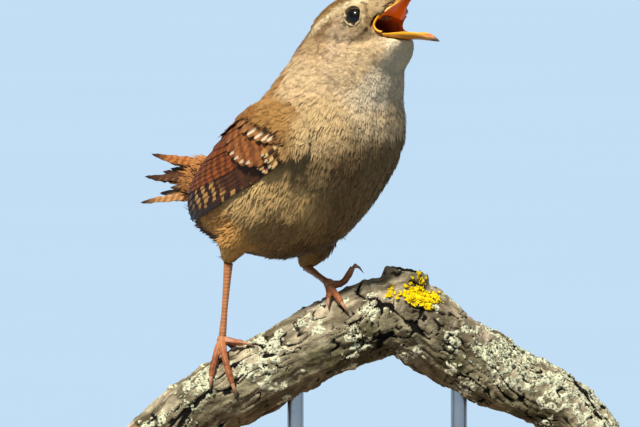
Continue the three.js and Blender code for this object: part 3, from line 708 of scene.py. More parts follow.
@dataclass
class Surface:
    """A closed mesh in millimetres that can be smoothed and pushed in or out."""

    points: Array
    faces: Array

    @classmethod
    def sheet(cls, grid: Array, way: Array) -> Surface:
        """An open surface through a grid of points, turned to face a way on the whole."""
        faces = grid_faces(*grid.shape[:2], closed=False)
        made = cls(grid.reshape(-1, 3), faces)
        return made if (made.normals() @ way).mean() >= 0 else cls(made.points, faces[:, ::-1])

    @classmethod
    def of_nodes(cls, names: Sequence[str], voxel: float, puff: float = 0.0, rounds: int = 4) -> Surface:
        """One even surface round frame nodes.

        Args:
            names: The nodes.
            voxel: Mesh spacing.
            puff: How far the nodes swell first, to close the gaps between them.
            rounds: Rounds of smoothing.

        Returns:
            The surface.
        """
        points, faces, total = [], [], 0
        for name in names:
            part = cls(*node_mesh(name))
            points.append(part.points + part.normals() * puff)
            faces.append(part.faces + total)
            total += len(part.points)
        mesh = bpy.data.meshes.new("raw")
        mesh.from_pydata(np.vstack(points) * MM, [], np.vstack(faces).tolist())
        raw = bpy.data.objects.new("raw", mesh)
        bpy.context.scene.collection.objects.link(raw)
        remesh = raw.modifiers.new("remesh", "REMESH")
        remesh.mode = "VOXEL"
        remesh.voxel_size = voxel * MM
        even = raw.evaluated_get(bpy.context.evaluated_depsgraph_get()).to_mesh()
        found = np.empty(len(even.vertices) * 3)
        even.vertices.foreach_get("co", found)
        corners = np.empty(len(even.loops), int)
        even.loops.foreach_get("vertex_index", corners)
        made = cls(found.reshape(-1, 3) / MM, corners.reshape(-1, 4))
        bpy.data.objects.remove(raw)
        bpy.data.meshes.remove(mesh)
        return made.smooth(rounds)

    def normals(self) -> Array:
        """Works out which way is out.

        Returns:
            The outward direction at each point.
        """
        sides = self.points[self.faces]
        face = np.cross(sides[:, 2] - sides[:, 0], sides[:, -1] - sides[:, 1])
        if self.faces.shape[1] == 3:
            face = np.cross(sides[:, 1] - sides[:, 0], sides[:, 2] - sides[:, 0])
        total = np.zeros_like(self.points)
        for corner in self.faces.T:
            for axis in range(3):
                total[:, axis] += np.bincount(corner, face[:, axis], len(self.points))
        return unit(total)

    def smooth(self, rounds: int, pull: float = 0.55, back: float = 0.57) -> Surface:
        """Evens the surface without shrinking it much.

        Args:
            rounds: How often the points are pulled and pushed back.
            pull: How far they go toward their neighbours' middle.
            back: How far they are pushed back after it.

        Returns:
            This surface.
        """
        edges = np.vstack([self.faces[:, [k, k - 1]] for k in range(self.faces.shape[1])])
        count = np.maximum(np.bincount(edges[:, 0], minlength=len(self.points)), 1)[:, None]
        for share in [pull, -back] * rounds:
            ends = self.points[edges[:, 1]]
            sums = [np.bincount(edges[:, 0], end, len(self.points)) for end in ends.T]
            self.points = self.points + (np.stack(sums, 1) / count - self.points) * share
        return self

    def pushed(self, amount: Array | float) -> Surface:
        """A copy moved along its outward directions."""
        return Surface(self.points + self.normals() * np.reshape(amount, (-1, 1)), self.faces)

    def facing(self, way: Sequence[float]) -> Array:
        """How far each point faces along a way of the bird's frame, from -1 to 1."""
        return self.normals() @ BIRD.along(way)

    def tree(self) -> BVHTree:
        """Search tree over the faces."""
        return BVHTree.FromPolygons(self.points.tolist(), self.faces.tolist())

    def piece(self, name: str, material: Material, **values: Array) -> Object:
        """The surface as an object with attributes."""
        return new_piece(name, self.points, [self.faces], material, values)


def gap_to_nodes(names: Sequence[str], points: Array) -> Array:
    """Distance from points to the nearest of several frame nodes."""
    trees = [Surface(*node_mesh(name)).tree() for name in names]
    return np.min([nearest(tree, points)[2] for tree in trees], axis=0)


def nearest(tree: BVHTree, points: Array) -> tuple[Array, Array, Array]:
    """Finds the nearest places on a surface.

    Args:
        tree: The surface's search tree.
        points: Where to look from.

    Returns:
        The places, the directions of their faces and the distances.
    """
    found = [tree.find_nearest(point) for point in points.tolist()]
    places = np.array([row[0] for row in found])
    ways = np.array([row[1] for row in found])
    return places, ways, np.array([row[3] for row in found])


@dataclass(frozen=True)
class Tract:
    """One tract of body feathers, by where it lies, which way it is combed and how it looks.

    Places and ways are s, r and z in the bird's frame. A paired tract is on both sides.
    """

    name: str
    at: tuple[float, float, float]
    lie: tuple[float, float, float]
    length: float
    colour: str
    barring: float = 0.0
    speckle: float = 0.0
    loose: float = 0.0
    paired: bool = True


TRACTS = (
    Tract("forehead", (29.5, 0, 134.0), (-0.8, 0, 0.6), 1.2, "9a7c55", speckle=0.5),
    Tract("forehead side", (28.0, 4.5, 132.0), (-0.85, 0.35, 0.4), 1.1, "b39a72", speckle=0.6),
    Tract("lore", (27.0, 6.0, 129.5), (-0.85, 0.5, 0.1), 1.0, "a98c62", speckle=0.6),
    Tract("crown", (20, 0, 137), (-1, 0, 0.05), 2.0, "967a54", speckle=0.5),
    Tract("hind crown", (12, 0, 134), (-0.85, 0, -0.5), 2.4, "906e44", speckle=0.45),
    Tract("crown side", (15, 7.0, 133), (-0.93, 0, -0.35), 2.0, "9a7c50", speckle=0.45),
    Tract("cheek", (20, 8.6, 125.5), (-0.85, 0.1, -0.5), 1.7, "c6ab88", speckle=0.65),
    Tract("ear", (13, 9.0, 125), (-0.75, 0, -0.65), 2.1, "b3946a", speckle=0.65),
    Tract("gape", (27.5, 6.0, 124.0), (-0.85, 0.1, -0.5), 1.1, "c8ad84", speckle=0.6),
    Tract("malar", (25, 6.8, 119), (-0.6, 0.1, -0.8), 1.6, "ccb188", speckle=0.5, loose=0.3),
    Tract("chin", (33, 1.8, 120.5), (-0.35, 0, -0.94), 1.2, "e6d6b4", loose=0.7),
    Tract("throat", (29, 3.5, 114.5), (-0.15, 0, -0.98), 2.2, "ead9b8", speckle=0.3, loose=0.7),
    Tract("nape", (5, 0, 127.5), (-0.62, 0, -0.78), 3.0, "93693a", speckle=0.2),
    Tract("neck side", (11, 10.5, 117), (-0.55, 0, -0.83), 3.2, "cfb287", speckle=0.15),
    Tract("mantle", (-2.5, 0, 117), (-0.62, 0, -0.78), 4.0, "a27543", barring=0.2),
    Tract("mantle side", (1, 10, 113), (-0.6, 0, -0.8), 4.0, "b3874f", barring=0.15),
    Tract("back", (-13, 0, 106), (-0.72, 0, -0.69), 4.6, "784a22", barring=0.35),
    Tract("rump", (-26, 0, 94), (-0.8, 0, -0.5), 4.6, "7f4a20", barring=0.45, loose=0.4),
    Tract(
        "tail coverts", (-33, -1.8, 92), (-0.976, -0.215, 0.03), 6.0, "a87240", 0.3, loose=0.6, paired=False,
    ),
    Tract("upper breast", (30, 0, 108), (-0.1, 0, -1), 3.6, "cfb68e", speckle=0.12, loose=0.05),
    # Painted shade: the breast and breast shade tracts are darkened for the shaded middle of the breast.
    Tract("breast", (27.5, 0, 96), (-0.3, 0, -0.95), 4.2, "7c6644", speckle=0.12, loose=0.05),
    Tract("breast side", (18, 13.5, 104), (-0.4, 0, -0.9), 3.8, "c8aa7a", speckle=0.15, loose=0.15),
    Tract("chest side", (17, 15.5, 93), (-0.45, 0, -0.89), 4.4, "8a724c", speckle=0.2, loose=0.1),
    Tract("breast shade", (20, 7, 96), (-0.4, 0, -0.92), 4.2, "775f3d", speckle=0.15, loose=0.05),
    Tract("side", (9.5, 15, 88), (-0.6, 0, -0.8), 5.0, "ceaa70", barring=0.1, loose=0.3),
    Tract("lower breast", (22, 0, 86), (-0.65, 0, -0.76), 4.6, "7c6440", speckle=0.15, loose=0.2),
    Tract("shoulder", (9, 16.5, 104), (-0.6, 0, -0.8), 3.2, "98703c", speckle=0.3),
    Tract("scapular", (-3, 17, 106), (-0.85, 0, -0.5), 2.7, "9c6937", barring=0.5),
    Tract("rear scapular", (-12, 15, 103), (-0.9, 0, -0.45), 2.5, "90562c", barring=0.55),
    # The belly's dark brown is partly its own colour and partly painted shade.
    Tract("belly", (5, 0, 73), (-0.95, 0, -0.25), 4.8, "664d2b", barring=0.35, loose=0.4),
    Tract("belly side", (6, 13, 79), (-0.8, 0, -0.6), 5.0, "927348", barring=0.35, loose=0.35),
    # Painted light: the flank and rear flank are lightened as if lit.
    Tract("flank", (1, 18, 88), (-0.65, 0, -0.76), 5.2, "d2ae74", barring=0.1, loose=0.3),
    Tract("rear flank", (-12, 16, 80), (-0.93, 0, -0.35), 5.2, "d49c58", barring=0.4, loose=0.45),
    Tract("vent", (-21, 6, 76), (-0.97, 0, -0.1), 5.2, "5c3a1a", barring=0.7, loose=0.9),
    Tract("under tail", (-29, 3, 81), (-0.95, 0, 0.3), 5.6, "6a4420", barring=0.7, loose=0.8),
    # Painted light: the thigh is lightened as if lit.
    Tract("thigh", (-12.5, 11.5, 73), (-0.5, 0.1, -0.85), 2.6, "e4ae64", barring=0.3, loose=0.2),
    # Painted shade: the inner thigh, the far thigh's side toward the camera, is darkened as if in deep
    # shadow.
    Tract("inner thigh", (-12.5, 8, 71), (-0.5, 0.1, -0.85), 2.4, "3c2916", barring=0.2),
    Tract("knee", (-12.5, 12.2, 70), (-0.5, 0.1, -0.85), 1.4, "cc9450", barring=0.2),
)


@dataclass(frozen=True)
class Stroke:
    """A marking along a line on both sides of the head, as s, r and z; the gape crease stroke is painted
    shadow.
    """

    name: str
    line: tuple[tuple[float, float, float], ...]
    width: float
    colour: str
    strength: float = 1.0


STROKES = (
    Stroke(
        "brow",
        (
            (26, 5.8, 133), (21.3, 6.7, 132.9), (19.2, 7.2, 132.2), (17.3, 8, 130.8), (14.7, 8.2, 129.2),
            (10, 7.6, 126.4),
        ),
        0.9, "e2cba0", 0.85,
    ),
    Stroke(
        "crown line", ((25, 4.2, 135), (18, 5.6, 134), (14, 6.4, 132.2), (10.5, 7, 129.4)),
        0.9, "60421f", 0.7,
    ),
    Stroke(
        "eye stripe", ((21, 8.2, 129), (18.7, 8.5, 129.2), (16, 8.6, 128.1), (12.2, 8.3, 125.4)),
        0.7, "7c5a31", 0.6,
    ),
    Stroke("upper lid", ((21.6, 7.4, 131.6), (23, 7, 132.1), (24.6, 6.8, 131.5)), 0.42, "553619", 0.85),
    Stroke("forehead dash", ((25.2, 6.3, 132.8), (26.8, 6.3, 132.2)), 0.36, "3d2815", 0.9),
    Stroke("lore dash", ((26.2, 6.6, 131.7), (26.8, 6.9, 130.4)), 0.32, "7a4d2a", 0.7),
    Stroke("lore", ((25.8, 7, 129.6), (27.6, 5.8, 129)), 0.5, "7d6040", 0.6),
    # Painted shadow of the feathers in the crease at the gape.
    Stroke("gape streak", ((27.2, 6.4, 127), (26, 6.6, 125.7), (24.6, 6.9, 124.6)), 0.38, "3a2412", 0.95),
    Stroke("chin skin", ((32.4, 4.6, 123.5), (31.1, 5.6, 122.5)), 0.35, "a8653c", 0.7),
)


EYE_PLACE = np.array([23.1, 6.9, 129.9])


def folded(own: Array) -> Array:
    """Places of the bird's frame with those on the left moved to the right."""
    return own * (1, 0, 1) + np.abs(own) * (0, 1, 0)


@dataclass
class Markings:
    """Pigment, with painted light and painted shade in some tracts, feather size and combing at any place of
    the body, shared by skin and coat.
    """

    eye_ring: str = "d9c298"
    ring_reach: tuple[float, float] = (3.1, 2.5)
    ring_strength: float = 0.6
    tract_softness: float = 2.0
    wobble_size: float = 3.2
    tract_wobble: float = 1.4
    stroke_wobble: float = 0.12
    patch_size: float = 2.4
    patch_strength: float = 0.15

    def __post_init__(self) -> None:
        """Spreads the tracts over both sides."""
        sides = [(tract, side) for tract in TRACTS for side in ((1, -1) if tract.paired else (1,))]
        mirror = np.array([[1, side, 1] for _, side in sides])
        self.places = np.array([tract.at for tract, _ in sides]) * mirror
        self.ways = np.array([tract.lie for tract, _ in sides]) * mirror
        self.pigments = np.array([tint(tract.colour) for tract, _ in sides])
        traits = [(tract.length, tract.barring, tract.speckle, tract.loose) for tract, _ in sides]
        self.traits = np.array(traits, float)

    def weights(self, own: Array) -> Array:
        """How much each tract counts at places of the bird's frame."""
        near = 1 / (((own[:, None, :] - self.places[None]) ** 2).sum(-1) + self.tract_softness) ** 3
        return near / near.sum(1, keepdims=True)

    def read(self, points: Array) -> tuple[Array, Array]:
        """Combing direction, and length, barring, speckle and looseness, at world points."""
        share = self.weights(BIRD.own(points))
        return BIRD.along(share @ self.ways), share @ self.traits

    def pigment(self, points: Array) -> Array:
        """Colours the body.

        Args:
            points: World points.

        Returns:
            The linear colour at each point.
        """
        own = BIRD.own(points)
        wobble = noise_rows(points, self.wobble_size, 2, 11)
        colour = self.weights(own + wobble * self.tract_wobble) @ self.pigments
        place = folded(own) + wobble * self.stroke_wobble
        for stroke in STROKES:
            gap = self.distance(place, stroke.line)
            share = ease(gap, stroke.width * 1.3 + 0.25, stroke.width * 0.7 + 0.15)
            colour = mix(colour, tint(stroke.colour), share * stroke.strength)
        ring = ease(np.linalg.norm(place - EYE_PLACE, axis=1), *self.ring_reach)
        colour = mix(colour, tint(self.eye_ring), ring * self.ring_strength)
        patches = layered_noise(points, self.patch_size, 3, 21)
        return colour * (1 + self.patch_strength * patches)[:, None]

    @staticmethod
    def distance(places: Array, line: Sequence[Sequence[float]]) -> Array:
        """Measures how far places are from a line.

        Args:
            places: The places.
            line: The line's points.

        Returns:
            One distance for each place.
        """
        best = np.full(len(places), np.inf)
        corners = np.array(line, float)
        for start, end in zip(corners[:-1], corners[1:]):
            way = end - start
            share = np.clip((places - start) @ way / (way @ way), 0, 1)
            best = np.minimum(best, np.linalg.norm(places - start - share[:, None] * way, axis=1))
        return best


@dataclass
class EyePair:
    """Both eyes: balls set in the head, and thin lids round a wide opening."""

    gloss: Material
    skin: Material
    radius: float = 2.5
    proud: float = 0.75
    aim: tuple[float, float, float] = (0.36, 0.92, 0.14)
    opening: tuple[float, float] = (2.0, 1.74)
    lid_width: float = 0.2
    lid_height: float = 0.08
    lid_rise: float = 0.02
    lid_colour: str = "7d6544"
    lid_edge: str = "3a2a1c"
    creases: int = 9
    crease_depth: float = 0.16
    turns: int = 56
    rows: int = 40
    lid_rows: int = 14

    def frame_of(self, side: int) -> tuple[Array, Array, Array, Array]:
        """Sets up one eye's own axes.

        Args:
            side: 1 on the right and -1 on the left.

        Returns:
            Middle of the ball, and the eye's ways forward, upward and outward.
        """
        axis = BIRD.along(np.array(self.aim) * (1, side, 1))
        forward = BIRD.along((1.0, 0.0, 0.25))
        forward = unit(forward - axis * (forward @ axis))
        middle = BIRD.at(EYE_PLACE * (1, side, 1)) + axis * (self.proud - self.radius)
        return middle, forward, unit(np.cross(axis, forward)) * side, axis

    def angles(self) -> Array:
        """Angles round the eye's axis."""
        return np.linspace(0, TURN, self.turns, endpoint=False)

    def ring(self, side: int, radius: Array, height: Array) -> Array:
        """Makes rings round an eye's axis.

        Args:
            side: 1 on the right and -1 on the left.
            radius: Radius for each row, or for each point of a row.
            height: Height over the ball's middle, likewise.

        Returns:
            The rings' points.
        """
        middle, forward, up, axis = self.frame_of(side)
        angles = self.angles()
        spokes = np.cos(angles)[:, None] * forward + np.sin(angles)[:, None] * up
        radius, height = (np.broadcast_to(value, (len(value), self.turns)) for value in (radius, height))
        return middle + radius[..., None] * spokes + height[..., None] * axis

    def build(self) -> None:
        """Makes the balls and lids."""
        seam = 0.02
        turn = np.linspace(seam, np.pi - seam, self.rows)
        facing = np.append(np.repeat(np.cos(turn), self.turns), [1, -1])
        for name, side in SIDES.items():
            rings = self.ring(side, self.radius * np.sin(turn)[:, None], self.radius * np.cos(turn)[:, None])
            piece = new_piece(f"eyeball_{name}", *loft(rings), self.gloss, {"turn": facing})
            settle(piece, Slot.EYE, f"eye_{name}")
            self.build_lids(name, side)

    def build_lids(self, name: str, side: int) -> None:
        """Makes the folded rim of skin round one eye.

        Args:
            name: The side's name.
            side: 1 on the right and -1 on the left.
        """
        angles = self.angles()
        forward, up = self.opening
        rim = forward * up / np.hypot(up * np.cos(angles), forward * np.sin(angles))
        turn = np.linspace(0, TURN, self.lid_rows, endpoint=False)[:, None]
        crease = 1 + self.crease_depth * np.sin(self.creases * angles) * (np.cos(turn) < 0)
        radius = rim + self.lid_width / 2 * (1 - np.cos(turn)) * crease
        lie = np.sqrt(np.maximum(self.radius**2 - radius**2, 0.05))
        height = lie + self.lid_rise + self.lid_height * (0.35 + np.sin(turn)) * crease
        points, faces = tube(self.ring(side, radius, height))
        shade = np.repeat(ease(np.cos(turn.ravel()), -0.1, 0.7), self.turns)
        pigment = painted(self.lid_colour, (self.lid_edge, shade))
        settle(new_piece(f"eyelid_{name}", points, faces, self.skin, {"pigment": pigment}), Slot.HEAD)


def grid_faces(rows: int, columns: int, closed: bool = True) -> Array:
    """Lays quads between neighbouring rings of points.

    Args:
        rows: How many rings.
        columns: Points in each.
        closed: Whether each ring's last point joins its first.

    Returns:
        The quads.
    """
    across = np.arange(columns if closed else columns - 1)
    near = np.arange(rows - 1)[:, None] * columns
    first, second = near + across, near + (across + 1) % columns
    return np.stack([first, second, second + columns, first + columns], -1).reshape(-1, 4)


def loft(rings: Array) -> tuple[Array, list[Array]]:
    """Draws a closed skin through rings of points, with a fan to the middle at either end.

    Args:
        rings: Points by ring.

    Returns:
        The points and the blocks of faces.
    """
    rows, columns = rings.shape[:2]
    points = np.vstack([rings.reshape(-1, 3), rings[0].mean(0), rings[-1].mean(0)])
    ring = np.arange(columns)
    following = (ring + 1) % columns
    last = (rows - 1) * columns
    start = np.stack([following, ring, np.full(columns, rows * columns)], 1)
    end = np.stack([last + ring, last + following, np.full(columns, rows * columns + 1)], 1)
    return points, [grid_faces(rows, columns), start, end]


def tube(rings: Array) -> tuple[Array, list[Array]]:
    """Skin through rings of points whose last ring joins the first."""
    rows, columns = rings.shape[:2]
    faces = grid_faces(rows + 1, columns) % (rows * columns)
    return rings.reshape(-1, 3), [faces]


@dataclass
class Skin:
    """One skin round head, neck, trunk, rump and thighs, lying inside the coat.

    The mouth's fields are the cup that the skin keeps out of, in the bird's frame.
    """

    voxel: float = 0.42
    puff: float = 0.22
    coat_share: float = 0.2
    eye_hollow: float = 0.22
    eye_reach: tuple[float, float] = (3.4, 2.2)
    hug: float = 0.35
    hug_reach: tuple[float, float] = (1.4, 0.3)
    shade: float = 0.9
    mouth_front: float = 29.4
    mouth_back: float = 19.5
    mouth_half_width: float = 5.4
    mouth_half_height: float = 3.8
    mouth_narrowing: float = 0.78
    mouth_level: float = 128.4
    mouth_drop: float = 2.1
    nodes: tuple[str, ...] = ("head", "neck", "trunk", "rump", "thigh_right", "thigh_left")
    inner: Surface | None = None

    def build(self, markings: Markings, material: Material) -> None:
        """Makes the skin: inside its outline by the coat's depth, and close round the bill.

        Args:
            markings: Pigment and feather size by place.
            material: Its finish.
        """
        outer = Surface.of_nodes(self.nodes, self.voxel, self.puff, 9).pushed(-self.puff)
        _, traits = markings.read(outer.points)
        depth = self.coat_share * traits[:, 0]
        own = BIRD.own(outer.points)
        for side in SIDES.values():
            gap = np.linalg.norm(own - EYE_PLACE * (1, side, 1), axis=1)
            depth = depth + self.eye_hollow * ease(gap, *self.eye_reach)
        bill = gap_to_nodes(("bill_upper", "bill_lower"), outer.points)
        self.inner = outer.pushed(self.hug * ease(bill, *self.hug_reach) - depth).smooth(2)
        count = len(self.inner.points)
        # Painted shade: the skin, seen in the gaps between the feathers, is darker than the coat by the
        # factor shade.
        pigment = markings.pigment(self.inner.points) * self.shade
        marks = np.stack([traits[:, 1], traits[:, 2], np.zeros(count)], 1)
        vane = np.tile([0.0, 0.2, 0.5], (count, 1))
        hollowed = Surface(self.clear_of_mouth(self.inner.points), self.inner.faces)
        piece = hollowed.piece("skin", material, pigment=pigment, marks=marks, vane=vane)
        settle(piece, Slot.BODY, *self.nodes)

    def clear_of_mouth(self, points: Array) -> Array:
        """Moves points that lie in the open mouth back behind its throat.

        Args:
            points: World points.

        Returns:
            The points, most of them unmoved.
        """
        s, r, z = BIRD.own(points).T
        deep = np.clip((self.mouth_front - s) / (self.mouth_front - self.mouth_back), 0, 1)
        scale = 1 - self.mouth_narrowing * deep**1.5
        middle = self.mouth_level - self.mouth_drop * deep
        wide, high = self.mouth_half_width * scale, self.mouth_half_height * scale
        off_axis = np.hypot(r / wide, (z - middle) / high)
        moved = np.where(s > self.mouth_back, s - self.mouth_back, 0) * ease(off_axis, 1.15, 0.9)
        return BIRD.at(np.stack([s - moved, r, z], 1))


@dataclass(frozen=True)
class TuftShape:
    """One body feather: barbs that leave a short shaft on both sides, each a thin closed blade."""

    side_barbs: int = 4
    width: float = 0.36
    spread: float = math.radians(76)
    variants: int = 24
    jitter: tuple[tuple[float, float], ...] = ((0.006, 0.01), (0.02, 0.03), (0.05, 0.11))

    def paths(self, rng: Generator) -> Array:
        """Draws the barbs of every variant.

        Args:
            rng: Random source.

        Returns:
            Places by variant, barb and root, middle or tip, each a share across and a share along.
        """
        shares = np.linspace(-1, 1, 2 * self.side_barbs + 1)
        angle = shares * self.spread
        tip = np.stack([np.sin(angle) * self.width, 0.58 + 0.42 * np.cos(angle)], -1)
        root = np.stack([shares * 0.02, 0.04 + 0.42 * (1 - np.abs(shares))], -1)
        middle = mix(root, tip, np.full(len(shares), 0.55)) + np.stack([np.sin(angle) * 0.05, shares * 0], -1)
        shape = np.stack([root, middle, tip], 1)
        return shape + rng.normal(0, 1, (self.variants, *shape.shape)) * self.jitter


# A blade has seven points: left, right and keel at its root, the same at its middle, and its tip.
STATION = [0, 0, 0, 1, 1, 1, 2]
OUTWARD = np.array([1, 1, -1, 1, 1, -1, 1])
SIDEWARD = np.array([-0.35, 0.35, 0, -0.35, 0.35, 0, 0])
BLADE_SIDES = np.array([[0, 1, 4, 3], [1, 2, 5, 4], [2, 0, 3, 5]])
BLADE_ENDS = np.array([[3, 4, 6], [4, 5, 6], [5, 3, 6], [0, 2, 1]])


@dataclass(frozen=True)
class Plot:
    """A stretch of surface and the body feathers' roots and outward directions on it."""

    name: str
    surface: Surface
    roots: Array
    normals: Array

    def part(self, name: str, chosen: Array) -> Plot:
        """The chosen roots as a plot of their own."""
        return Plot(name, self.surface, self.roots[chosen], self.normals[chosen])


@dataclass
class Coat:
    """All body feathers, in pieces by region.

    Spacing, barb sizes, droop and looseness are shares of a feather's length. The rest is in millimetres.
    """

    skin: Skin
    markings: Markings
    material: Material
    rng: Generator = field(default_factory=lambda: np.random.default_rng(SEED))
    spacing: float = 0.215
    least_gap: float = 0.27
    clearance: float = 0.4
    eye_clearance: float = 2.22
    throat_from: float = 19.0
    throat_half_width: float = 4.4
    throat_level: float = 127.5
    throat_half_height: float = 2.0
    shape: TuftShape = field(default_factory=TuftShape)
    barb_width: tuple[float, float] = (0.047, 0.072)
    barb_thickness: float = 0.014
    free_from: tuple[float, float] = (0.9, 2.4)
    droop: float = 0.4
    looseness: float = 0.12
    barb_fade: tuple[float, float, float] = (0.88, 0.99, 1.02)
    bare_nodes: tuple[str, ...] = (
        "bill_upper", "bill_lower", "gape_right", "gape_left", "mouth_lining", "tarsus_right", "tarsus_left",
    )

    def sown(self, name: str, surface: Surface) -> Plot:
        """Spreads roots evenly over a surface, closer where feathers are shorter.

        Args:
            name: The plot's name.
            surface: What the feathers grow on.

        Returns:
            The plot.
        """
        triangles = np.vstack([surface.faces[:, [0, 1, 2]], surface.faces[:, [0, 2, 3]]])
        corners = surface.points[triangles]
        first, second = corners[:, 1] - corners[:, 0], corners[:, 2] - corners[:, 0]
        area = np.linalg.norm(np.cross(first, second), axis=1) / 2
        _, traits = self.markings.read(corners.mean(1))
        gap = np.maximum(traits[:, 0] * self.spacing, self.least_gap)
        wanted = area / gap**2
        count = int(wanted.sum() * 6)
        picked = self.rng.choice(len(triangles), count, p=wanted / wanted.sum())
        share = np.sqrt(self.rng.random(count))[:, None]
        turn = self.rng.random(count)[:, None]
        a, b, c = (corners[picked, k] for k in range(3))
        places = a * (1 - share) + b * share * (1 - turn) + c * share * turn
        normals = unit(surface.normals()[triangles[picked]].mean(1))
        return Plot(name, surface, places, normals).part(name, self.thinned(places, gap[picked]))

    @staticmethod
    def thinned(places: Array, gap: Array) -> Array:
        """Thins out places.

        Args:
            places: The places.
            gap: How near a later place may come to each.

        Returns:
            Indices of the places that stay.
        """
        tree = KDTree(len(places))
        for index, place in enumerate(places.tolist()):
            tree.insert(place, index)
        tree.balance()
        free = np.ones(len(places), bool)
        kept = []
        for index, place in enumerate(places.tolist()):
            if not free[index]:
                continue
            kept.append(index)
            for _, other, _ in tree.find_range(place, gap[index]):
                free[other] = False
        return np.array(kept)

    def build(self) -> None:
        """Makes every coat piece."""
        body = self.sown("body", self.skin.inner)
        body = body.part("body", self.clear_of_bare_parts(body.roots))
        region = self.regions(body.roots)
        for number, name in enumerate(REGION_NAMES):
            self.build_piece(body.part(name, region == number))
        for name, side in SIDES.items():
            for apron in (*WING_APRONS, BILL_APRON):
                surface = apron.surface(side, None if apron is BILL_APRON else WingPair())
                self.build_piece(self.sown(f"{apron.name}_{name}", surface))
        for name, face_side in (("upper", 1), ("lower", -1)):
            self.build_piece(self.sown(f"tail_root_{name}", TailFan().cover(face_side)))

    def clear_of_bare_parts(self, roots: Array) -> Array:
        """Finds the roots that stand clear of bill, mouth, eyes and shanks.

        Args:
            roots: World points.

        Returns:
            True for those that do.
        """
        own = folded(BIRD.own(roots))
        s, r, z = own.T
        eye = np.linalg.norm(own - EYE_PLACE, axis=1)
        level = np.abs(z - self.throat_level) < self.throat_half_height
        in_throat = (s > self.throat_from) & (r < self.throat_half_width) & level
        bare = gap_to_nodes(self.bare_nodes, roots)
        return (bare > self.clearance) & (eye > self.eye_clearance) & ~in_throat

    @staticmethod
    def regions(points: Array) -> Array:
        """Shares roots out among the coat's pieces.

        Args:
            points: World points.

        Returns:
            The number of each one's piece in REGION_NAMES.
        """
        s, r, z = BIRD.own(points).T
        leg = (z < 73.2) & (np.abs(r) > 8) & (s < -7)
        head = z > 122 - 0.35 * (s - 14)
        face = head & (s > 19)
        forehead = face & (z > 130.5)
        neck = z > 109 - 0.2 * (s - 10)
        upper = z > 100 + 0.8 * (s + 5)
        rear, breast = s < -14, s > 12
        choices = [leg, forehead, face & (r > 0), face, head, neck & upper, neck, upper, rear, breast]
        return np.select(choices, range(len(choices)), len(choices))

    def varied(self, spread: float, shape: int | tuple[int, ...], low: float, high: float) -> Array:
        """Random numbers round 1, kept between low and high."""
        return self.rng.normal(1, spread, shape).clip(low, high)

    def build_piece(self, plot: Plot) -> None:
        """Makes the feathers of one plot as one mesh.

        Args:
            plot: Where they grow.
        """
        lie, traits = self.markings.read(plot.roots)
        count = len(plot.roots)
        length = traits[:, 0] * self.varied(0.09, count, 0.75, 1.25)
        flow = self.combed(plot, lie)
        picked = self.rng.integers(self.shape.variants, size=count)
        path = self.shape.paths(self.rng)[picked]
        width = length * self.varied(0.1, count, 0.8, 1.25)
        across = np.cross(flow, plot.normals)[:, None, None]
        sideways = (path[..., 0] * width[:, None, None])[..., None] * across
        forward = (path[..., 1] * length[:, None, None])[..., None] * flow[:, None, None]
        flat = plot.roots[:, None, None] + sideways + forward
        base, ways, gap = nearest(plot.surface.tree(), flat.reshape(-1, 3))
        base = mix(base, flat.reshape(-1, 3), ease(gap, *self.free_from)).reshape(flat.shape)
        ways = unit(ways.reshape(flat.shape) + plot.normals[:, None, None] * 0.6)
        middle = base + ways * self.lift(path, length, traits[:, 3])[..., None]
        side = unit(np.cross(unit(np.gradient(middle, axis=2)), ways))
        points = self.blades(middle, side, ways, length)
        piece = self.dress(plot, points, path, traits)
        bent = ways[:, :, STATION] * OUTWARD[:, None] + side[:, :, STATION] * SIDEWARD[:, None]
        piece.data.normals_split_custom_set_from_vertices(unit(bent).reshape(-1, 3))
        on_head = any(word in plot.name for word in ("head", "face", "bill"))
        settle(piece, Slot.HEAD if on_head else Slot.BODY)

    def lift(self, path: Array, length: Array, loose: Array) -> Array:
        """Works out how far barbs stand off the surface.

        Args:
            path: Barb places of each feather, as shares.
            length: Length of each feather.
            loose: How loose each feather is.

        Returns:
            A height for each barb's root, middle and tip.
        """
        rise = self.skin.coat_share * length * self.rng.normal(0.8, 0.14, len(path)).clip(0.5, 1.1)
        height = rise[:, None, None] * path[..., 1] ** 0.9
        ruffle = self.rng.normal(0, 1, path.shape[:2]) * (self.looseness + 0.3 * loose[:, None])
        height = height + (ruffle * length[:, None] * 0.16)[..., None] * np.array([0, 0.35, 1.0])
        height = height + (loose * length * self.looseness)[:, None, None] * np.array([0, 0.2, 1.0])
        height = height - self.droop * length[:, None, None] * path[..., 0] ** 2 + 0.04
        return np.maximum(height, 0.02)

    def blades(self, middle: Array, side: Array, ways: Array, length: Array) -> Array:
        """Gives each barb a width and a keel.

        Args:
            middle: Root, middle and tip of each barb.
            side: Ways across the barb there.
            ways: Outward directions there.
            length: Length of each feather.

        Returns:
            Seven points for each barb: left, right and keel twice, and the tip.
        """
        size = length[:, None, None, None]
        body, tip = middle[:, :, :2], middle[:, :, 2:]
        wide = side[:, :, :2] * (np.array([*self.barb_width])[:, None] * size)
        keel = body - ways[:, :, :2] * (self.barb_thickness * size)
        layers = np.stack([body - wide, body + wide, keel], 3).reshape(*middle.shape[:2], 6, 3)
        return np.concatenate([layers, tip], 2).reshape(-1, 3)

    def combed(self, plot: Plot, lie: Array) -> Array:
        """Combs the feathers on the skin, parted round the eyes and slightly uneven.

        Args:
            plot: Where they grow.
            lie: Their tracts' direction at each root.

        Returns:
            Their directions.
        """
        own = BIRD.own(plot.roots)
        for side in SIDES.values():
            from_eye = own - EYE_PLACE * (1, side, 1)
            away = BIRD.along(from_eye)
            near = ease(np.linalg.norm(from_eye, axis=1), 6.0, 3.2)
            toward = np.minimum((lie * away).sum(1), 0) * near
            lie = lie - away * toward[:, None] * 1.25
        lie = lie + noise_rows(plot.roots, 5.0, 2, 31) * 0.16
        lie = lie + self.rng.normal(0, 0.07, lie.shape)
        return unit(lie - plot.normals * (lie * plot.normals).sum(1, keepdims=True))

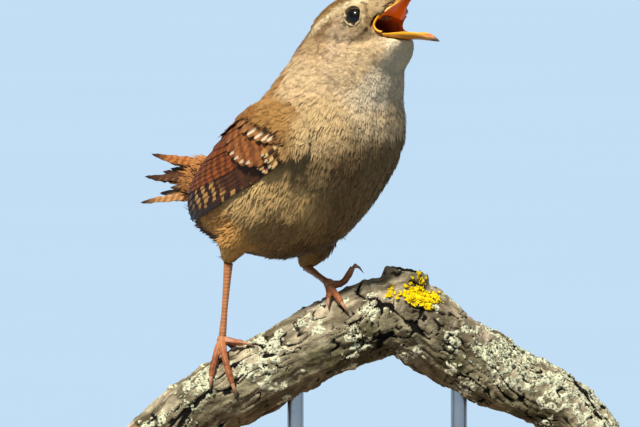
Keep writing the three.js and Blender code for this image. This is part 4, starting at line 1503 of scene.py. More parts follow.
    def dress(
        self, plot: Plot, points: Array, path: Array, traits: Array
    ) -> Object:
        """Joins blades into a mesh with pigment, vane places, marks and the bake map.

        Args:
            plot: Where they grow.
            points: The blades' points.
            path: Barb places of each feather, as shares.
            traits: Length, barring, speckle and looseness of each feather.

        Returns:
            The piece.
        """
        count, blades = path.shape[:2]
        vane = path[:, :, STATION]
        seed = np.broadcast_to(self.rng.random((count, 1, 1, 1)), (*vane.shape[:3], 1))
        vane = np.concatenate([vane / [self.shape.width, 1], seed], -1).reshape(-1, 3)
        pigment = self.markings.pigment(plot.roots) * self.varied(0.07, (count, 1), 0.8, 1.2)
        blade_tone = self.varied(0.07, (count, blades, 1), 0.8, 1.2)
        tone = (blade_tone * np.array(self.barb_fade)[STATION])[..., None]
        marks = np.stack([traits[:, 1], traits[:, 2], np.zeros(count)], 1)
        values = {
            "pigment": (pigment[:, None, None] * tone).reshape(-1, 3),
            "vane": vane,
            "marks": np.repeat(marks, blades * len(STATION), axis=0),
        }
        tuft = (vane.reshape(count, -1, 3)[..., :2] * [0.5, 1] - [0, 0.5]) * PATCH
        bake = (spine_map(plot.roots)[:, None] + tuft).reshape(-1, 2)
        starts = np.arange(count * blades)[:, None, None] * len(STATION)
        faces = [(block + starts).reshape(-1, block.shape[1]) for block in (BLADE_SIDES, BLADE_ENDS)]
        return new_piece(f"coat_{plot.name}", points, faces, self.material, values, bake)


REGION_NAMES = (
    "thighs", "forehead", "face_right", "face_left", "head", "nape", "neck", "back", "rear", "breast",
    "belly",
)
SPINE = (
    (34, 0, 127), (24, 0, 125.5), (16, 0, 121), (11, 0, 112), (4, 0, 100), (-8, 0, 91), (-20, 0, 87),
    (-36, 0, 91),
)


def spine_map(points: Array) -> Array:
    """Unwraps the body round its spine.

    Args:
        points: World points.

    Returns:
        Share along the spine, and turn round it from the belly line, for each point.
    """
    own = BIRD.own(points)
    shares = np.linspace(0, 1, 240)
    spine = along_rows(SPINE, shares)
    nearest_row = np.argmin(((own[:, None] - spine[None]) ** 2).sum(-1), axis=1)
    heading = unit(np.gradient(spine, axis=0))[nearest_row]
    away = own - spine[nearest_row]
    up = np.stack([-heading[:, 2], np.zeros(len(own)), heading[:, 0]], 1)
    turn = np.arctan2(away[:, 1], (away * up).sum(1))
    return np.stack([0.02 + 0.96 * shares[nearest_row], 0.5 + 0.48 * turn / np.pi], 1)


@dataclass(frozen=True)
class Vane:
    """One modelled flight feather or covert: its shape between root and tip."""

    rows: int = 26
    columns: int = 9
    thickness: float = 0.11
    camber: float = 0.1
    blunt: float = 0.8
    fray: float = 0.015
    notches: float = 0.03
    notch_width: float = 0.82
    shaft_width: float = 0.12

    def outline(self, shares: Array) -> Array:
        """Half-width at shares of the length, as a share of the full half-width."""
        base = 0.25 + 0.75 * ease(shares, 0.0, 0.3)
        tip = np.sqrt(np.clip(1 - ((shares - self.blunt) / (1 - self.blunt)).clip(0, 1) ** 2, 0, 1))
        return base * np.maximum(tip, 0.05)

    def build(
        self, path: Array, normals: Array, width: tuple[float, float], roll: float,
        rng: Generator,
    ) -> tuple[Array, Array]:
        """Shapes one feather.

        Args:
            path: Middle line from root to tip, one point for each row.
            normals: Outward directions along it.
            width: Half-width of the outer and the inner web.
            roll: How far the outer edge stands out and the inner one lies in.
            rng: Random source.

        Returns:
            Points, top side first, and each one's share across and along.
        """
        shares = np.linspace(0, 1, self.rows)
        heading = unit(np.gradient(path, axis=0))
        side = unit(np.cross(normals, heading))
        up = np.cross(heading, side)
        columns = np.linspace(-1, 1, self.columns)
        ragged = 1 + rng.normal(0, self.fray, (self.rows, 2))
        notch = np.where(rng.random((self.rows, 2)) < self.notches, self.notch_width, 1.0)
        half = self.outline(shares)[:, None] * np.array(width)[::-1] * ragged * notch
        reach = np.where(columns < 0, half[:, :1] * columns, half[:, 1:] * columns)
        height = roll * columns * self.outline(shares)[:, None] - self.camber * width[0] * columns**2
        ridge = self.thickness * (0.35 + 0.65 * np.exp(-((columns / self.shaft_width) ** 2)))
        thick = ridge * (1 - 0.6 * shares[:, None])
        middle = path[:, None] + reach[..., None] * side[:, None] + height[..., None] * up[:, None]
        top = middle + (thick / 2)[..., None] * up[:, None]
        bottom = middle - (thick / 2)[..., None] * up[:, None]
        across = np.broadcast_to(columns, (self.rows, self.columns))
        reach_share = np.broadcast_to(shares[:, None], across.shape)
        place = np.stack([across, reach_share], -1).reshape(-1, 2)
        return np.vstack([top.reshape(-1, 3), bottom.reshape(-1, 3)]), np.vstack([place, place])

    def faces(self, flip: bool) -> Array:
        """Draws the closed blade.

        Args:
            flip: Turns the quads over, for points whose columns run the other way.

        Returns:
            Its quads.
        """
        size = self.rows * self.columns
        top = grid_faces(self.rows, self.columns, closed=False)
        low = top[:, ::-1] + size
        grid = np.arange(size).reshape(self.rows, self.columns)
        rim = np.concatenate([grid[0, :-1], grid[:-1, -1], grid[-1, :0:-1], grid[:0:-1, 0]])
        following = np.roll(rim, -1)
        edge = np.stack([rim, rim + size, following + size, following], 1)
        quads = np.vstack([top, low, edge])
        return quads[:, ::-1] if flip else quads


@dataclass(frozen=True)
class FeatherRow:
    """A row of like feathers on the folded wing, from the upper one to the lower one.

    Roots and tips are lines of s and z on the bird's side. Layers are heights over the wing's surface.
    """

    name: str
    count: int
    roots: tuple[tuple[float, float], ...]
    tips: tuple[tuple[float, float], ...]
    width: tuple[float, float]
    layers: tuple[float, ...]
    colour: str
    edge: str = "b98e58"
    barring: float = 0.6
    checks: float = 0.0
    tip: float = 0.0
    tip_from: float = 0.6
    period: float = 2.6
    bow: float = 0.6
    dark_tip: float = 0.0
    roll: float = 0.09
    tip_range: tuple[float, float] = (0.0, 1.0)
    check_span: tuple[float, float] = (0.0, 1.0)
    check_softness: float = 0.06


FLIGHT_ROWS = (
    FeatherRow(
        "primaries", 8, ((-1, 96), (2, 93.8), (5, 92)),
        ((-28.2, 86.6), (-30.2, 83.2), (-30.3, 80.9), (-27, 80.1), (-21.5, 81.2), (-15.5, 83.2)),
        (1.5, 1.9), (-0.35, -0.95), "4a2914", edge="b98a50", checks=0.9, period=4.0, bow=-0.8, dark_tip=1.0,
        check_span=(0.42, 0.8),
    ),
    FeatherRow(
        "secondaries", 6, ((0, 103), (-0.6, 99), (-0.5, 96)),
        ((-22.5, 94.8), (-26, 90.8), (-28.0, 87.6)),
        (1.7, 2.0), (0.0, -0.35), "7a3d18", edge="9a5826", barring=0.4, checks=0.25, period=3.0, bow=0.4,
        dark_tip=0.4,
    ),
    FeatherRow(
        "tertials", 3, ((3, 106.3), (1.5, 104.2)), ((-15.5, 101.2), (-21, 95.8)),
        (2.2, 2.4), (0.35, 0.1), "763c18", barring=0.4, period=3.0, bow=0.8,
    ),
)
COVERT_ROWS = (
    FeatherRow(
        "primary_coverts", 4, ((7.6, 98.6), (10.4, 97)), ((0.4, 94.6), (4.6, 92.0)),
        (1.1, 1.2), (0.15, -0.1), "5f361a", edge="c8965a", checks=0.9, period=2.8, bow=0.3,
        tip=0.7, tip_from=0.85,
    ),
    FeatherRow(
        "greater_coverts", 8, ((-3.5, 107), (1.6, 103), (5.2, 100), (8.2, 98.6)),
        ((-12.5, 102.2), (-8.9, 98.2), (-5.3, 95.8), (-1.8, 94.2), (2.4, 94.2)),
        (1.5, 1.5), (0.55, 0.35), "8c5228", edge="a56e38", barring=0.35, checks=0.3, period=2.8, tip=0.75,
        tip_from=0.82, tip_range=(0.35, 0.95),
    ),
    FeatherRow(
        "alula", 3, ((10.8, 101), (11.8, 99.6)), ((5.0, 95.9), (6.9, 92.9)),
        (1.15, 1.2), (0.7, 0.45), "9c6e3a", edge="cbac74", barring=0.5, checks=0.9, period=3.4, bow=0.35,
        tip=0.7, tip_from=0.85,
    ),
    FeatherRow(
        "median_coverts", 8, ((-4, 108.6), (3.2, 106.2), (9, 104.4), (12, 103.4)),
        ((-9.6, 105.2), (-2.3, 101.9), (4.2, 99.8), (8.5, 99.6)),
        (1.3, 1.3), (0.85, 0.75), "97683a", barring=0.25, period=2.6, tip=1.0, tip_from=0.5,
        tip_range=(0.3, 0.92),
    ),
)


@dataclass(frozen=True)
class Apron:
    """A strip of small feathers that hides an edge: over the wing's upper edge or the bill's root."""

    name: str
    rows: tuple[tuple[tuple[float, float, float], ...], ...]
    clear: float = 0.75

    def surface(self, side: int, wing: WingPair | None = None, steps: int = 30) -> Surface:
        """Lays the strip on one side of the bird.

        Args:
            side: 1 on the right and -1 on the left.
            wing: The wing; the rows' second number is then 0 on the body and 1 over the wing, else it is r.
            steps: Steps along the strip and across it.

        Returns:
            An open surface that faces outward.
        """
        along = np.linspace(0, 1, steps)
        lines = np.stack([along_rows(row, along) for row in self.rows])
        place = np.linspace(0, len(self.rows) - 1, steps)
        sheet = np.stack([smooth_rows(lines[:, k], place) for k in range(steps)], 1)
        s, r, z = np.moveaxis(sheet, -1, 0)
        if wing is not None:
            on_body, on_wing = wing.body_half_width(s, z), wing.reach(s, z) + self.clear
            r = on_body + (on_wing - on_body) * r
        return Surface.sheet(BIRD.at(np.stack([s, side * r, z], -1)), BIRD.along((0, side, 0.3)))


WING_APRONS = (
    Apron(
        "scapulars",
        (
            (
                (12.6, 0, 104.6), (10.5, 0, 107.6), (5, 0, 109.8), (-2, 0, 109.6), (-7, 0, 107.6),
                (-11, 0, 105),
            ),
            (
                (10.8, 0.6, 103.8), (9, 0.6, 105.8), (4.4, 0.6, 107.4), (-2.5, 0.6, 107.2), (-8, 0.6, 105.2),
                (-12.5, 0.6, 102.6),
            ),
            (
                (9.2, 1, 103.6), (7.4, 1, 104.6), (3.6, 1, 105.6), (-3, 1, 105.4), (-9, 1, 103.4),
                (-13.6, 1, 100.9),
            ),
        ),
    ),
    Apron(
        "wing_bend",
        (
            ((16.8, 0, 99.5), (16.2, 0, 103), (14, 0, 106.5), (11, 0, 109)),
            ((14.2, 0.6, 98.6), (13.8, 0.6, 102), (11.8, 0.6, 105.2), (9.2, 0.6, 107.4)),
            ((12.4, 1, 98.2), (12, 1, 101.2), (10, 1, 104.2), (7.6, 1, 106)),
        ),
    ),
)
BILL_APRON = Apron(
    "bill_root",
    (
        ((28.2, 5.1, 130.2), (29.7, 4.5, 131.3), (31.2, 3.2, 132.7), (32.3, 2.3, 133.7)),
        ((28.0, 4.9, 131.2), (29.8, 4.3, 132.4), (31.4, 3.1, 133.6), (32.8, 2.1, 134.5)),
        ((27.2, 0.0, 133.0), (29.0, 0.0, 134.4), (31.0, 0.0, 135.5), (32.9, 0.0, 136.4)),
    ),
)


@dataclass
class WingPair:
    """Both folded wings, feather by feather, lying on the body."""

    lift: float = 1.5
    tip_out: float = 6.5
    flare: float = 0.2
    blend: float = 2.2
    root_sink: float = 0.9
    halvings: int = 22
    body_rows: tuple[tuple[float, ...], ...] = (
        (-29, 88, -28, 78.4, 6.5), (-27, 92.5, -24.6, 75.4, 10.5), (-22.5, 97, -16.5, 72.4, 14.5),
        (-18, 101.5, -5.4, 71, 17), (-13, 106, 6.8, 73.4, 18.2), (-8.5, 110.5, 17, 81.4, 18.2),
        (-5, 113.5, 24.9, 90.4, 17.6), (-2.5, 116.5, 29.2, 99.6, 16.3), (-0.8, 119, 29.4, 108, 13.8),
        (1, 121.8, 30.6, 115.5, 11.2), (4, 126, 32, 120.6, 8.8),
    )

    def beyond(self, row: Array, s: Array, z: Array) -> Array:
        """Signed numbers that tell on which side of a row's line places lie."""
        back_s, back_z, front_s, front_z, _ = np.moveaxis(smooth_rows(self.body_rows, row), -1, 0)
        return (back_s - front_s) * (z - front_z) - (back_z - front_z) * (s - front_s)

    def body_half_width(self, s: Array, z: Array) -> Array:
        """Works out how wide the body is at places of its side view.

        Args:
            s: How far forward each place lies.
            z: How high it lies.

        Returns:
            Half the body's width there, 0 outside it.
        """
        low, high = np.zeros(s.shape), np.full(s.shape, len(self.body_rows) - 1.0)
        start = np.sign(self.beyond(low, s, z))
        outside = start == np.sign(self.beyond(high, s, z))
        for _ in range(self.halvings):
            middle = (low + high) / 2
            same = np.sign(self.beyond(middle, s, z)) == start
            low, high = np.where(same, middle, low), np.where(same, high, middle)
        back_s, back_z, front_s, front_z, width = np.moveaxis(smooth_rows(self.body_rows, low), -1, 0)
        size = (back_s - front_s) ** 2 + (back_z - front_z) ** 2
        share = ((s - front_s) * (back_s - front_s) + (z - front_z) * (back_z - front_z)) / size
        return np.where(outside, 0, width * np.sqrt(np.clip(1 - (2 * share - 1) ** 2, 0, 1)))

    def reach(self, s: Array, z: Array) -> Array:
        """How far out the wing's surface lies at places of the side view."""
        on_body = self.body_half_width(s, z) + self.lift
        free = self.tip_out + self.flare * (s + 30)
        return (on_body + free + np.sqrt((on_body - free) ** 2 + self.blend**2)) / 2

    def surface(self, s: Array, z: Array, layer: Array, side: int) -> Array:
        """World points of the wing's surface at places of the side view, moved out by a layer."""
        return BIRD.at(np.stack([s, side * (self.reach(s, z) + layer), z], -1))

    def path(self, row: FeatherRow, share: float, side: int, rows: int) -> tuple[Array, Array]:
        """Lays one feather of a row on the wing.

        Args:
            row: The row.
            share: The feather's place in it, from 0 to 1.
            side: 1 on the right and -1 on the left.
            rows: How many points its line has.

        Returns:
            Its middle line and the outward directions along it.
        """
        root, tip = along_rows(row.roots, share), along_rows(row.tips, share)
        steps = np.linspace(0, 1, rows)
        way = unit(tip - root)
        sag = np.outer(np.sin(np.pi * steps), np.array([way[1], -way[0]])) * row.bow
        line = root + np.outer(steps, tip - root) - sag
        height = along_rows([[height] for height in row.layers], share)[0]
        layer = height - self.root_sink * (1 - steps)
        s, z = line.T
        points = self.surface(s, z, layer, side)
        forward = self.surface(s + 0.5, z, layer, side) - points
        upward = self.surface(s, z + 0.5, layer, side) - points
        return points, unit(np.cross(forward, upward)) * side

    @staticmethod
    def bar_start(row: FeatherRow, share: float) -> float:
        """How far a feather's root lies along its row's mean direction."""
        way = unit(along_rows(row.tips, 0.5) - along_rows(row.roots, 0.5))
        return float(along_rows(row.roots, share) @ way)

    def build(self, material: Material) -> None:
        """Makes the flight feathers and coverts of both wings.

        Args:
            material: Their finish.
        """
        for name, side in SIDES.items():
            for label, groups, nodes in (
                ("flight", FLIGHT_ROWS, ("wing_primaries", "wing_secondaries")),
                ("coverts", COVERT_ROWS, ("wing_coverts",)),
            ):
                rng = np.random.default_rng(SEED + 3)
                pile = FeatherPile(Vane())
                for row in groups:
                    for index in range(row.count):
                        share = index / max(row.count - 1, 1)
                        path, normals = self.path(row, share, side, pile.vane.rows)
                        pile.add(row, share, path, normals, side, rng, self.bar_start(row, share))
                piece = pile.piece(f"wing_{label}_{name}_vanes", material)
                settle(piece, Slot.WING, *(f"{node}_{name}" for node in nodes))


@dataclass
class FeatherPile:
    """Modelled feathers gathered into one mesh, each with a strip of the bake map."""

    vane: Vane
    dark: str = "241611"
    dark_edge: str = "3a2618"
    margin: float = 0.08
    points: list[Array] = field(default_factory=list)
    faces: list[Array] = field(default_factory=list)
    places: list[Array] = field(default_factory=list)
    values: dict[str, list[Array]] = field(default_factory=dict)

    def add(
        self, row: FeatherRow, share: float, path: Array, normals: Array, side: int,
        rng: Generator, start: float = 0.0,
    ) -> None:
        """Adds one feather of a row along a path.

        Args:
            row: The row it belongs to.
            share: Its place in the row, from 0 to 1.
            path: Middle line from root to tip.
            normals: Outward directions along it.
            side: 1 on the right and -1 on the left.
            rng: Random source.
            start: Where its bars start, in millimetres, so that they line up with its neighbours'.
        """
        points, place = self.vane.build(path, normals, row.width[::side], row.roll * side, rng)
        across, reach = place.T * np.array([[side], [1]])
        length = np.linalg.norm(np.diff(path, axis=0), axis=1).sum()
        phase = (reach * length + start) / row.period + rng.random() * 0.22
        colour = tint(row.colour) * rng.normal(1, 0.1)
        first, last = row.tip_range
        tip = row.tip * (first <= share <= last)
        fade = 1 - ease(reach, 0.85, 0.98) * row.dark_tip
        low, high = row.check_span
        soft = row.check_softness
        checks = row.checks * ease(reach, low - soft, low + soft) * ease(reach, high + soft, high - soft)
        values = {
            "pigment": mix(colour, tint(self.dark), ease(reach, 0.72, 0.95) * row.dark_tip),
            "edge": painted(row.edge, (self.dark_edge, ease(reach, 0.66, 0.86) * row.dark_tip)),
            "vane": np.stack([across, reach, phase], 1),
            "marks": np.stack([row.barring * fade, checks, np.full(len(points), tip)], 1),
            "streak": (reach - row.tip_from) / (1 - row.tip_from),
        }
        for key, rows in values.items():
            self.values.setdefault(key, []).append(rows)
        self.faces.append(self.vane.faces(flip=True) + sum(map(len, self.points)))
        self.points.append(points)
        self.places.append(np.stack([across, reach], 1))

    def piece(self, name: str, material: Material) -> Object:
        """Joins the pile; every feather has its own strip of the map, for both its sides.

        Args:
            name: The piece's name.
            material: Its finish.

        Returns:
            The piece.
        """
        columns = math.ceil(math.sqrt(len(self.points) * 3))
        rows = math.ceil(len(self.points) / columns)
        maps = []
        for index, place in enumerate(self.places):
            corner = np.array([index % columns, index // columns])
            inside = self.margin + (1 - 2 * self.margin) * (place * [0.5, 1] + [0.5, 0])
            maps.append((corner + inside) / [columns, rows])
        values = {key: np.concatenate(blocks) for key, blocks in self.values.items()}
        faces = [np.vstack(self.faces)]
        return new_piece(name, np.vstack(self.points), faces, material, values, np.vstack(maps))


@dataclass
class TailFan:
    """The cocked tail: twelve narrow feathers in a rolled, frayed fan."""

    s: float = -24.5
    z: float = 90.0
    swing: float = 12.4
    rise: float = 1.8
    roll: float = 60.0
    quills: float = 7.2
    half_width: float = 1.25
    covered: float = 8.0
    cover_half: float = 0.62
    cover_widening: float = 0.16
    cover_edge: float = 0.3
    cover_rise: float = 1.5
    bare_quill: float = 2.0
    warp: float = 0.25
    vane: Vane = Vane(rows=30, blunt=0.3, fray=0.12, notches=0.1)
    colours: tuple[str, ...] = ("a5652f", "54321a", "b98650")
    feathers: tuple[tuple[float, float, float], ...] = (
        (-3.5, 3, 29.5), (-5, 4, 31), (-6.5, -2.5, 27.5), (-5, -4.5, 27), (-3.5, -3, 28.5), (1, 2, 31),
        (-0.5, 0.5, 30), (-5, -8.5, 25), (-3, -9, 27), (0, -7, 29), (6.5, -1.5, 31), (-1, -11, 25),
    )

    def axes(self) -> tuple[Array, Array, Array, Array]:
        """Sets up the fan's own axes.

        Returns:
            Root point, and the ways back, across to the right edge and out of the fan's face.
        """
        swing, rise, roll = np.radians([self.swing, self.rise, self.roll])
        back = BIRD.along([-np.cos(swing) * np.cos(rise), -np.sin(swing) * np.cos(rise), np.sin(rise)])
        across = BIRD.along([0, np.cos(roll), -np.sin(roll)])
        across = unit(across - back * (across @ back))
        return BIRD.at([self.s, 0, self.z]), back, across, np.cross(back, across)

    def cover(self, face_side: int, steps: int = 12) -> Surface:
        """Lays the sheet over the fan's root that the tail coverts grow on.

        Args:
            face_side: 1 over the fan's face and -1 under it.
            steps: Steps along the sheet and across it.

        Returns:
            An open surface that faces away from the fan.
        """
        root, back, across, face = self.axes()
        along = np.linspace(0.5, self.covered, steps)
        place = np.linspace(-self.cover_half, self.cover_half, steps)
        spread = self.quills + along[:, None, None] * self.cover_widening
        hull = np.sqrt(np.clip(1 - (place / 0.66) ** 2, 0, 1))
        points = root + along[:, None, None] * back + place[None, :, None] * spread * across
        points = points + face_side * (self.cover_edge + self.cover_rise * hull)[None, :, None] * face
        return Surface.sheet(points, face * face_side)

    def build(self, material: Material) -> None:
        """Makes the fan.

        Args:
            material: Its finish.
        """
        rng = np.random.default_rng(SEED + 5)
        root, back, across, face = self.axes()
        pile = FeatherPile(self.vane)
        last = len(self.feathers) - 1
        steps = np.linspace(0, 1, pile.vane.rows)
        for index, (fan, tilt, length) in enumerate(self.feathers):
            turn, lift = np.radians([fan, tilt])
            flat = back * np.cos(turn) + across * np.sin(turn)
            heading = flat * np.cos(lift) + face * np.sin(lift)
            quill = root + across * (index / last - 0.5) * self.quills
            path = quill + np.outer(self.bare_quill + (length - self.bare_quill) * steps, heading)
            path = path + np.outer(np.sin(np.pi * steps), face) * rng.normal(0, self.warp)
            # Painted shade: dark_tip darkens the outer end of each tail feather, standing in for shaded,
            # edge-on tips.
            row = FeatherRow(
                "tail", last + 1, (), (), (self.half_width, self.half_width), (0, 0),
                self.colours[index * len(self.colours) // (last + 1)], barring=0.38, period=2.6,
                dark_tip=0.95, roll=0.12, checks=0.2,
            )
            normals = np.tile(face, (pile.vane.rows, 1))
            pile.add(row, 0.0, path, normals, 1, rng)
        settle(pile.piece("tail_vanes", material), Slot.TAIL, "tail")


@dataclass
class Bill:
    """Both halves of the bill, the gape rims and the mouth's inside."""

    horn: Material
    flesh: Material
    voxel: float = 0.14
    rim_voxel: float = 0.12
    rim_slim: float = 0.14
    cup_columns: int = 48
    cup_rows: int = 14
    cup_walls: tuple[float, float] = (1.0, 1.05)
    cup_narrowing: float = 0.78
    mouth_front: tuple[tuple[float, float, float], ...] = (
        (29.9, 0, 132.0), (29.9, 2.3, 131.5), (29.5, 3.9, 130.3), (28.2, 4.9, 128.7),
        (28.0, 5.0, 127.5), (28.7, 4.7, 126.2), (30.2, 3.9, 125.5), (31.2, 2.2, 125.2),
        (31.6, 0, 125.0),
    )
    mouth_middle: tuple[float, float, float] = (29.4, 0, 128.4)
    mouth_end: tuple[float, float, float] = (20.5, 0, 126.3)

    def build(self) -> None:
        """Makes and colours every part."""
        self.build_upper()
        self.build_lower()
        for name, side in SIDES.items():
            rim = Surface.of_nodes([f"gape_{name}"], self.rim_voxel, 0.0, 3).pushed(-self.rim_slim)
            pigment = painted("fdb515", ("c25a0a", ease(rim.facing((0.25, -side, -0.1)), 0.1, 0.6)))
            settle(rim.piece(f"gape_rim_{name}", self.flesh, pigment=pigment), Slot.GAPE, f"gape_{name}")
        self.build_mouth()

    def build_upper(self) -> None:
        """Makes the upper half: dark outside, bright edge, orange palate."""
        upper = Surface.of_nodes(["bill_upper"], self.voxel)
        inward = upper.facing((0.62, 0, -0.78))
        base = ease(BIRD.own(upper.points)[:, 0], 35, 29)
        outside = painted("3d2a1a", ("8a5a26", ease(inward, -0.75, -0.1) * 0.7), ("a08258", base * 0.85))
        palate = painted("c8600c", ("f27c06", base))
        pigment = mix(outside, palate, ease(inward, 0.05, 0.4))
        rim = ease(np.abs(inward - 0.12), 0.42, 0.12)
        pigment = mix(pigment, tint("f7b22a"), rim * (0.35 + 0.65 * base))
        settle(upper.piece("beak_upper", self.horn, pigment=pigment), Slot.BILL_UPPER, "bill_upper")

    def build_lower(self) -> None:
        """Makes the lower half: yellow edge, orange sides and trough, dusky tip."""
        lower = Surface.of_nodes(["bill_lower"], self.voxel)
        s, _, z = BIRD.own(lower.points).T
        inside = ease(lower.facing((0, 0, 1)), 0.3, 0.7) * ease(z, 125.7, 125.3)
        pigment = painted(
            "e8930f",
            ("c9570e", inside),
            ("fcbf2a", ease(z, 125.15, 125.6) * (1 - inside) * 0.9),
            ("b8651c", ease(z, 124.8, 124.2) * 0.5),
            ("dca468", ease(s, 38, 41.5) * 0.5),
            ("4a3d33", ease(s, 40.8, 43.2)),
        )
        settle(lower.piece("beak_lower", self.horn, pigment=pigment), Slot.BILL_LOWER, "bill_lower")

    def build_mouth(self) -> None:
        """Makes the mouth's inside, a thin cup that narrows to the throat, darkened with painted shade toward
        its depth and its lower side.
        """
        right = np.array(self.mouth_front)
        front = np.vstack([right, right[-2:0:-1] * (1, -1, 1)])
        places = np.linspace(0, len(front), self.cup_columns, endpoint=False)
        front = smooth_rows(np.vstack([front, front[:1]]), places)
        middle, end = np.array(self.mouth_middle), np.array(self.mouth_end)
        depth = np.linspace(0, 1, self.cup_rows)
        axis = middle + depth[:, None] * (end - middle)
        inner, outer = (
            axis[:, None] + (front - middle) * (wall - self.cup_narrowing * depth**1.5)[:, None, None]
            for wall in self.cup_walls
        )
        points, faces = loft(BIRD.at(np.concatenate([inner[::-1], outer])))
        share = np.concatenate([depth[::-1], depth])
        deep = np.append(np.repeat(share, self.cup_columns), [1, 1])
        # Painted shade: the cup darkens with depth and toward its lower side.
        low = ease(BIRD.own(points)[:, 2], 130.6, 126.4)
        shade = np.clip(ease(deep, 0.0, 0.8) * 0.75 + low * 0.6, 0, 1)
        pigment = painted("f2740a", ("641804", shade))
        piece = new_piece("mouth_inside", points, faces, self.flesh, {"pigment": pigment})
        settle(piece, Slot.MOUTH, "mouth_lining")


@dataclass
class LegPair:
    """Bare legs and feet with their scutes, and the claws."""

    skin: Material
    horn: Material
    perch: PerchLine
    voxel: float = 0.16
    puff: float = 0.17
    slim: float = 0.12
    scute: float = 0.85
    scute_depth: float = 0.1
    claw_voxel: float = 0.09
    claw_sunk: float = 0.55
    toe_count: int = 4

    def build(self) -> None:
        """Makes both legs."""
        for name in SIDES:
            nodes = (f"tarsus_{name}", f"foot_{name}")
            leg = Surface.of_nodes(nodes, self.voxel, self.puff, 5).pushed(-self.slim)
            share, angle, height = self.perch.read(leg.points)
            shank = ease(height, 2.5, 4.0)
            along_toe = angle * (self.perch.radius_at(share) + height)
            phase = (along_toe + (leg.points[:, 2] - along_toe) * shank) / self.scute
            groove = np.abs(np.sin(np.pi * phase)) ** 0.5
            outward = ease(leg.normals()[:, 1], 0.4, -0.2)
            leg = leg.pushed(self.scute_depth * (groove - 0.6) * outward)
            pigment = painted(
                "a05e34",
                ("743a1c", ease(layered_noise(leg.points, 1.2, 2, 51), -0.5, 0.6)),
                ("cc8c5c", shank * 0.55),
                ("6b3a22", ease(groove, 0.55, 0.1) * 0.6),
            )
            settle(leg.piece(f"leg_{name}", self.skin, pigment=pigment), Slot.LEG, *nodes)
            for toe in range(1, self.toe_count + 1):
                self.build_claw(name, toe)

    def build_claw(self, side: str, toe: int) -> None:
        """Makes one claw, joined to its toe and darker toward its tip.

        Args:
            side: Name of its side.
            toe: Number of its toe.
        """
        node = f"claw_{side}_{toe}"
        claw = Surface.of_nodes([node], self.claw_voxel, 0.02, 3)
        toe_at, _, gap = nearest(Surface(*node_mesh(f"foot_{side}")).tree(), claw.points)
        sunk = ease(gap, 0.9, 0.35) * self.claw_sunk / np.maximum(gap, 0.1)
        claw.points = claw.points - (claw.points - toe_at) * sunk[:, None]
        pigment = painted("b08262", ("3b2a20", ease(gap, 0.8, 3.6)))
        settle(claw.piece(f"talon_{side}_{toe}", self.horn, pigment=pigment), Slot.CLAW, node)


@dataclass
class PerchLine:
    """Middle line of the branch in the plane Y = 0, as X, Z and radius."""

    rows: tuple[tuple[float, float, float], ...] = (
        (-41.5, 22.4, 9.2), (-24.9, 36.3, 9), (-12.2, 43.6, 9), (-2.9, 48.9, 9.2), (6.6, 53.1, 9.4),
        (13.9, 56.2, 9.6), (19.6, 56.8, 9.9), (24.9, 54.4, 10.2), (33.4, 48.2, 9.1), (41.2, 43.6, 8.8),
        (48, 40.4, 8.1), (55.4, 36.8, 7.6), (62.4, 31.1, 7.6), (68, 24.6, 7.6),
    )
    samples: int = 400

    def line(self) -> Array:
        """Sampled X, Z and radius."""
        return along_rows(self.rows, np.linspace(0, 1, self.samples))

    def length(self) -> float:
        """Length of the middle line."""
        return float(np.linalg.norm(np.diff(self.line()[:, :2], axis=0), axis=1).sum())

    def radius_at(self, share: Array) -> Array:
        """Radius at shares of the line."""
        return np.interp(share, np.linspace(0, 1, self.samples), self.line()[:, 2])

    def read(self, points: Array) -> tuple[Array, Array, Array]:
        """Places points by the branch.

        Args:
            points: World points.

        Returns:
            Share along the line, angle from the top toward the front, and height over the bark.
        """
        line = self.line()
        gap = (points[:, None, 0] - line[None, :, 0]) ** 2 + (points[:, None, 2] - line[None, :, 1]) ** 2
        row = gap.argmin(1)
        heading = unit(np.gradient(line[:, :2], axis=0))[row]
        away = points[:, [0, 2]] - line[row, :2]
        up = away[:, 1] * heading[:, 0] - away[:, 0] * heading[:, 1]
        angle = np.arctan2(-points[:, 1], up)
        return row / (self.samples - 1), angle, np.hypot(points[:, 1], up) - line[row, 2]


